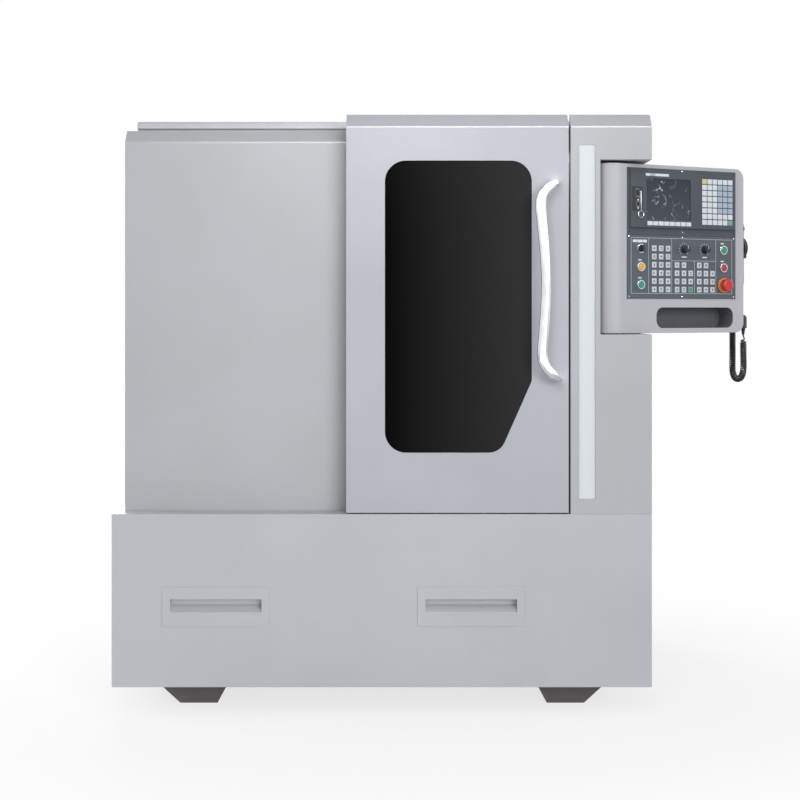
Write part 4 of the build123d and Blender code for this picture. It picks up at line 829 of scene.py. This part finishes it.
rows = row_tree()
LOUVRE = Vector((0.120, 0.6701, 0.793))
HOOD_REACH, HOOD_TOP, HOOD_DROP = 0.0095, 0.014, 0.013
HOOD_HALF, SHEET = 0.094, 0.0012
hood = bmesh.new()
arc = []
for i in range(7):
    a = math.radians(15 * i)
    arc.append((HOOD_REACH * math.sin(a), HOOD_TOP - HOOD_DROP * (1 - math.cos(a))))
inner = [(y - SHEET, z) for y, z in reversed(arc[1:])]
outline = [(0.0, HOOD_TOP)] + arc[1:] + inner + [(0.0, HOOD_TOP - SHEET)]
sides = [[hood.verts.new(LOUVRE + Vector((x, y, z))) for y, z in outline] for x in (-HOOD_HALF, HOOD_HALF)]
for i in range(len(outline)):
    k = (i + 1) % len(outline)
    hood.faces.new((sides[0][i], sides[0][k], sides[1][k], sides[1][i]))
for side in sides:
    hood.faces.new(side)
for x in (-HOOD_HALF, HOOD_HALF - SHEET):
    cheek = [(0.0, HOOD_TOP)] + arc[1:] + [(0.0, HOOD_TOP - HOOD_DROP)]
    ends = []
    for across in (x, x + SHEET):
        ends.append([hood.verts.new(LOUVRE + Vector((across, y, z))) for y, z in cheek])
    for i in range(len(cheek)):
        k = (i + 1) % len(cheek)
        hood.faces.new((ends[0][i], ends[0][k], ends[1][k], ends[1][i]))
    for end in ends:
        hood.faces.new(end)
bmesh.ops.recalc_face_normals(hood, faces=hood.faces)
louvres = {"Count": 7, "Step": (0, 0, 0.022), "Finish": base_coat}
grown("electrical_door_louvres", rows, louvres, Matrix(), "electrical_door_body", hood)
motor_low, motor_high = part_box("spindle_motor")
RIB_PROUD, RIB_INSET = 0.005, 0.016
rib_low, rib_high = motor_low.z + 0.030, motor_low.z + 0.0335
rib_left, rib_right = motor_low.x + RIB_INSET, motor_high.x - RIB_INSET
rib_near, rib_far = motor_low.y + RIB_INSET, motor_high.y - RIB_INSET
rib = bmesh.new()
slab(rib, rib_left, rib_right, motor_low.y - RIB_PROUD, motor_low.y, rib_low, rib_high)
slab(rib, motor_low.x - RIB_PROUD, motor_low.x, rib_near, rib_far, rib_low, rib_high)
slab(rib, motor_high.x, motor_high.x + RIB_PROUD, rib_near, rib_far, rib_low, rib_high)
grown("spindle_motor_ribs", rows, {"Count": 17, "Step": (0, 0, 0.012), "Finish": motor_enamel}, Matrix(),
      "head_body", rib)

# %% [markdown]
# Round parts are turned on a lathe, so a profile of lengths and radii is enough to draw them. A servo
# motor has a stepped cover over its encoder and two capped sockets for its cables. The cord leaves
# through tapered sleeves with grooves, which let it bend gently instead of breaking at the edge.

# %% Turned parts
def turned(work, profile, turn, finish=0, segments=28):
    angles = [2 * math.pi * i / segments for i in range(segments)]
    rings = []
    for along, radius in profile:
        ring = [Vector((radius * math.cos(a), radius * math.sin(a), along)) for a in angles]
        rings.append([work.verts.new(turn @ place) for place in ring])
    sides = []
    for a, b in zip(rings, rings[1:]):
        sides += [(a[i], a[(i + 1) % segments], b[(i + 1) % segments], b[i]) for i in range(segments)]
    for corners in sides + [rings[0], rings[-1]]:
        work.faces.new(corners).material_index = finish


SOCKET = [(0, 0.0125), (0.004, 0.0125), (0.0045, 0.0105), (0.010, 0.0105), (0.0105, 0.0118),
          (0.020, 0.0118), (0.022, 0.0100)]
for label, (stand, body) in SERVOS.items():
    work = bmesh.new()
    turned(work, [(0.150, 0.038), (0.152, 0.038), (0.154, 0.036)], stand, 0, 40)
    for along in (0.100, 0.130):
        turned(work, SOCKET, stand @ Matrix.Translation((0, 0.045, along)) @ TO_BACK, 1)
    piece(f"{label}_fittings", work, [motor_enamel, black_abs], body)

SLEEVE = [(0.0, 0.0075)]
for i in range(6):
    r = 0.0075 - 0.0005 * i
    SLEEVE += [(0.0012 + 0.0034 * i, r), (0.0014 + 0.0034 * i, r - 0.0012),
               (0.0030 + 0.0034 * i, r - 0.0014), (0.0032 + 0.0034 * i, r - 0.0004)]
SLEEVE += [(0.0225, 0.0040)]
work = bmesh.new()
turned(work, SLEEVE, Matrix.Translation((0.514, -0.036, 1.2048)) @ Matrix.Rotation(math.pi, 4, "X"))
turned(work, SLEEVE, Matrix.Translation((0.514, 0.018, 1.3298)) @ Matrix.Rotation(math.pi, 4, "X"))
sleeves = piece("cord_sleeves", work, [rubber_seal], "control_box", BOX)

# %% [markdown]
# The three axes run on ball screws. The groove is a helix, so the rod's radius dips wherever the turn so
# far and the angle agree. The journals at both ends stay plain, and they end a hair short of the motors'
# faces, which don't turn with them.

# %% Ball screws
def ball_screw(node, start, turn, length, pitch, body, radius=0.010, dip=0.0022, per_turn=10, segments=24,
               journal=0.03):
    count = int(length / pitch * per_turn)
    profile = []
    work = bmesh.new()
    for i in range(count + 1):
        along = length * i / count
        cut = dip if journal < along < length - journal else 0.0
        ring = []
        for k in range(segments):
            swing = math.cos(2 * math.pi * (along / pitch - k / segments))
            reach = radius - cut * max(0.0, swing) ** 1.5
            angle = 2 * math.pi * k / segments
            ring.append(work.verts.new((reach * math.cos(angle), reach * math.sin(angle), along)))
        profile.append(ring)
    for a, b in zip(profile, profile[1:]):
        for i in range(segments):
            work.faces.new((a[i], a[(i + 1) % segments], b[(i + 1) % segments], b[i]))
    work.faces.new(profile[0])
    work.faces.new(profile[-1])
    rod = piece(f"{node}_thread", work, [ground_steel], body,
                Matrix.Translation(start) @ turn)
    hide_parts(node)
    print(rod.name, len(rod.data.polygons))


ball_screw("x_screw", (-0.2298, -0.070, 0.7043), TO_RIGHT, 0.6996, 0.010, "x_screw_body")
ball_screw("y_screw", (0.120, -0.2098, 0.530), TO_BACK, 0.3396, 0.010, "y_screw_body")
ball_screw("z_screw", (0.120, 0.1325, 0.9602), Matrix(), 0.7396, 0.010, "z_screw_body")

# %% [markdown]
# The pendant's cord is a curly one: a straight cable wound on a rod and baked, so that it springs back.
# It leaves an elbow gland on the box's side, hangs in a U and goes up into the pendant. Its line is a
# smooth spline through the route, and the helix turns round points that are read from that line. Towards
# both ends the turns open up and run out straight.

# %% Curly cord
CORD_ROUTE = [
    (0.514, -0.036, 1.205), (0.514, -0.036, 1.135), (0.51497, -0.03816, 1.0505), (0.514, -0.009, 1.03),
    (0.51497, 0.02016, 1.0471), (0.51303, 0.01638, 1.12), (0.514, 0.018, 1.225), (0.514, 0.018, 1.33),
]
WIRE_RADIUS = 0.0025
COIL_RADIUS = 0.0092
COIL_PITCH = 0.0061


def nurbs(name, places, resolution):
    curve = bpy.data.curves.new(name, "CURVE")
    curve.dimensions = "3D"
    line = curve.splines.new("NURBS")
    line.points.add(len(places) - 1)
    for held, place in zip(line.points, places):
        held.co = (*place, 1.0)
    line.order_u = 3
    line.use_endpoint_u = True
    line.resolution_u = resolution
    return curve


def spline_points(places, name):
    thing = placed(name, nurbs(name, places, 24))
    bpy.context.view_layer.update()
    mesh = bpy.data.meshes.new_from_object(thing.evaluated_get(bpy.context.evaluated_depsgraph_get()))
    read = [v.co.copy() for v in mesh.vertices]
    bpy.data.objects.remove(thing)
    bpy.data.meshes.remove(mesh)
    return read


def helix_along(line, radius, pitch, per_turn=14, lead=0.03, plain=0.022):
    along = [0.0]
    for a, b in zip(line, line[1:]):
        along.append(along[-1] + (b - a).length)
    total = along[-1]
    side = Vector((1, 0, 0))
    turns = []
    count = int(total / pitch * per_turn)
    angle = 0.0
    k = 0
    for i in range(count + 1):
        reach = total * i / count
        while k < len(along) - 2 and along[k + 1] < reach:
            k += 1
        share = (reach - along[k]) / (along[k + 1] - along[k])
        place = line[k].lerp(line[k + 1], share)
        ahead = (line[k + 1] - line[k]).normalized()
        side = (side - ahead * side.dot(ahead)).normalized()
        other = ahead.cross(side)
        near = min(1.0, max(0.0, min(reach, total - reach) - plain) / lead)
        swell = near * near * (3 - 2 * near)
        angle += 2 * math.pi * total / count / pitch * swell ** 2
        turns.append(place + (side * math.cos(angle) + other * math.sin(angle)) * radius * swell)
    return turns


line = [BOX @ p for p in spline_points([Vector(p) for p in CORD_ROUTE], "cord_route")]
coil = helix_along(line, COIL_RADIUS, COIL_PITCH)
curve = nurbs("pendant_curly_cord", coil, 1)
curve.bevel_depth = WIRE_RADIUS
curve.bevel_resolution = 2
curve.use_fill_caps = True
curve.materials.append(cord_sheath)
cord = placed("pendant_curly_cord", curve)
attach(cord, "control_box")
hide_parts("pendant_cord")

# %% [markdown]
# A wide, weak sun from the right is the key light. Soft lamps stand in front, behind and at both sides,
# and an even white room fills the rest. A thin strip above lights nothing by itself: it only shows as a
# reflection, which draws a bright line along the folds. The floor is white and keeps the shadow; the
# camera, and mirrors of it in metal and glass, see a white backdrop.

# %% Light, floor and backdrop
world = bpy.data.worlds.new("white_room")
bpy.context.scene.world = world
world.use_nodes = True
tree = world.node_tree
tree.nodes.clear()
rays = add(tree, "ShaderNodeLightPath")
seen = add(tree, "ShaderNodeMath", {0: rays.outputs["Is Camera Ray"], 1: rays.outputs["Is Glossy Ray"]},
           operation="MAXIMUM")
seen = add(tree, "ShaderNodeMath", {0: seen.outputs[0], 1: rays.outputs["Is Transmission Ray"]},
           operation="MAXIMUM")
fill = add(tree, "ShaderNodeBackground", {"Color": (0.94, 0.96, 1.0, 1.0), "Strength": 0.31})
backdrop = add(tree, "ShaderNodeBackground", {"Color": (1.0, 1.0, 1.0, 1.0), "Strength": 1.0})
both = add(tree, "ShaderNodeMixShader", {0: seen.outputs[0], 1: fill.outputs[0], 2: backdrop.outputs[0]})
add(tree, "ShaderNodeOutputWorld", {"Surface": both.outputs[0]})

floor_material, tree = blank("white_studio_floor")
rays = add(tree, "ShaderNodeLightPath")
matt = add(tree, "ShaderNodeBsdfDiffuse", {"Color": linear("#f7f7f8")})
bright = add(tree, "ShaderNodeEmission", {"Color": (1, 1, 1, 1), "Strength": 1.0})
place = add(tree, "ShaderNodeTexCoord")
away = add(tree, "ShaderNodeVectorMath", {0: place.outputs["Object"]}, operation="LENGTH")
fade = add(tree, "ShaderNodeMapRange",
           {"Value": away.outputs["Value"], "From Min": 0.9, "From Max": 2.4, "To Min": 0.75,
            "To Max": 1.0}, interpolation_type="SMOOTHSTEP")
share = add(tree, "ShaderNodeMath", {0: rays.outputs["Is Camera Ray"], 1: fade.outputs[0]},
            operation="MULTIPLY")
both = add(tree, "ShaderNodeMixShader", {0: share.outputs[0], 1: matt.outputs[0], 2: bright.outputs[0]})
close(tree, both)
work = bmesh.new()
bmesh.ops.create_grid(work, x_segments=1, y_segments=1, size=14)
mesh = bpy.data.meshes.new("studio_floor")
work.to_mesh(mesh)
work.free()
mesh.materials.append(floor_material)
floor = placed("studio_floor", mesh)
floor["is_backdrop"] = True


def soft_lamp(name, place, aim, size, watts):
    data = bpy.data.lights.new(name, "AREA")
    data.shape = "RECTANGLE"
    data.size, data.size_y = size
    data.energy = watts
    thing = placed(name, data)
    thing.location = place
    thing.rotation_euler = (Vector(aim) - Vector(place)).to_track_quat("-Z", "Y").to_euler()
    return thing


soft_lamp("front_softbox", (0.05, -2.2, 2.15), (0.1, -0.65, 1.8), (0.8, 0.6), 11)
soft_lamp("low_softbox", (0.0, -4.0, 0.4), (0.0, -0.6, 0.3), (2.4, 0.5), 10)
soft_lamp("rear_softbox", (-1.5, 4.0, 2.2), (0.1, 0.5, 1.1), (2.0, 1.5), 110)
soft_lamp("left_softbox", (-4.0, 0.6, 1.8), (-0.8, 0.0, 1.1), (1.5, 1.5), 70)
strip = soft_lamp("top_strip", (0.5, -1.65, 3.1), (0.35, -0.65, 1.84), (2.2, 0.15), 105)
strip.visible_diffuse = False
soft_lamp("right_softbox", (4.2, 0.9, 1.8), (0.85, 0.2, 1.1), (1.5, 1.5), 40)
sun = bpy.data.lights.new("right_key", "SUN")
sun.energy = 1.2
sun.angle = math.radians(28)
key = placed("right_key", sun)
KEY_TURN, KEY_FALL = math.radians(28), math.radians(13)
shine = Vector((-math.sin(KEY_TURN), math.cos(KEY_TURN), -math.tan(KEY_FALL)))
key.rotation_euler = shine.to_track_quat("-Z", "Y").to_euler()
bpy.context.scene.view_settings.view_transform = "Standard"

# %% Sizes and finish
low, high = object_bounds()
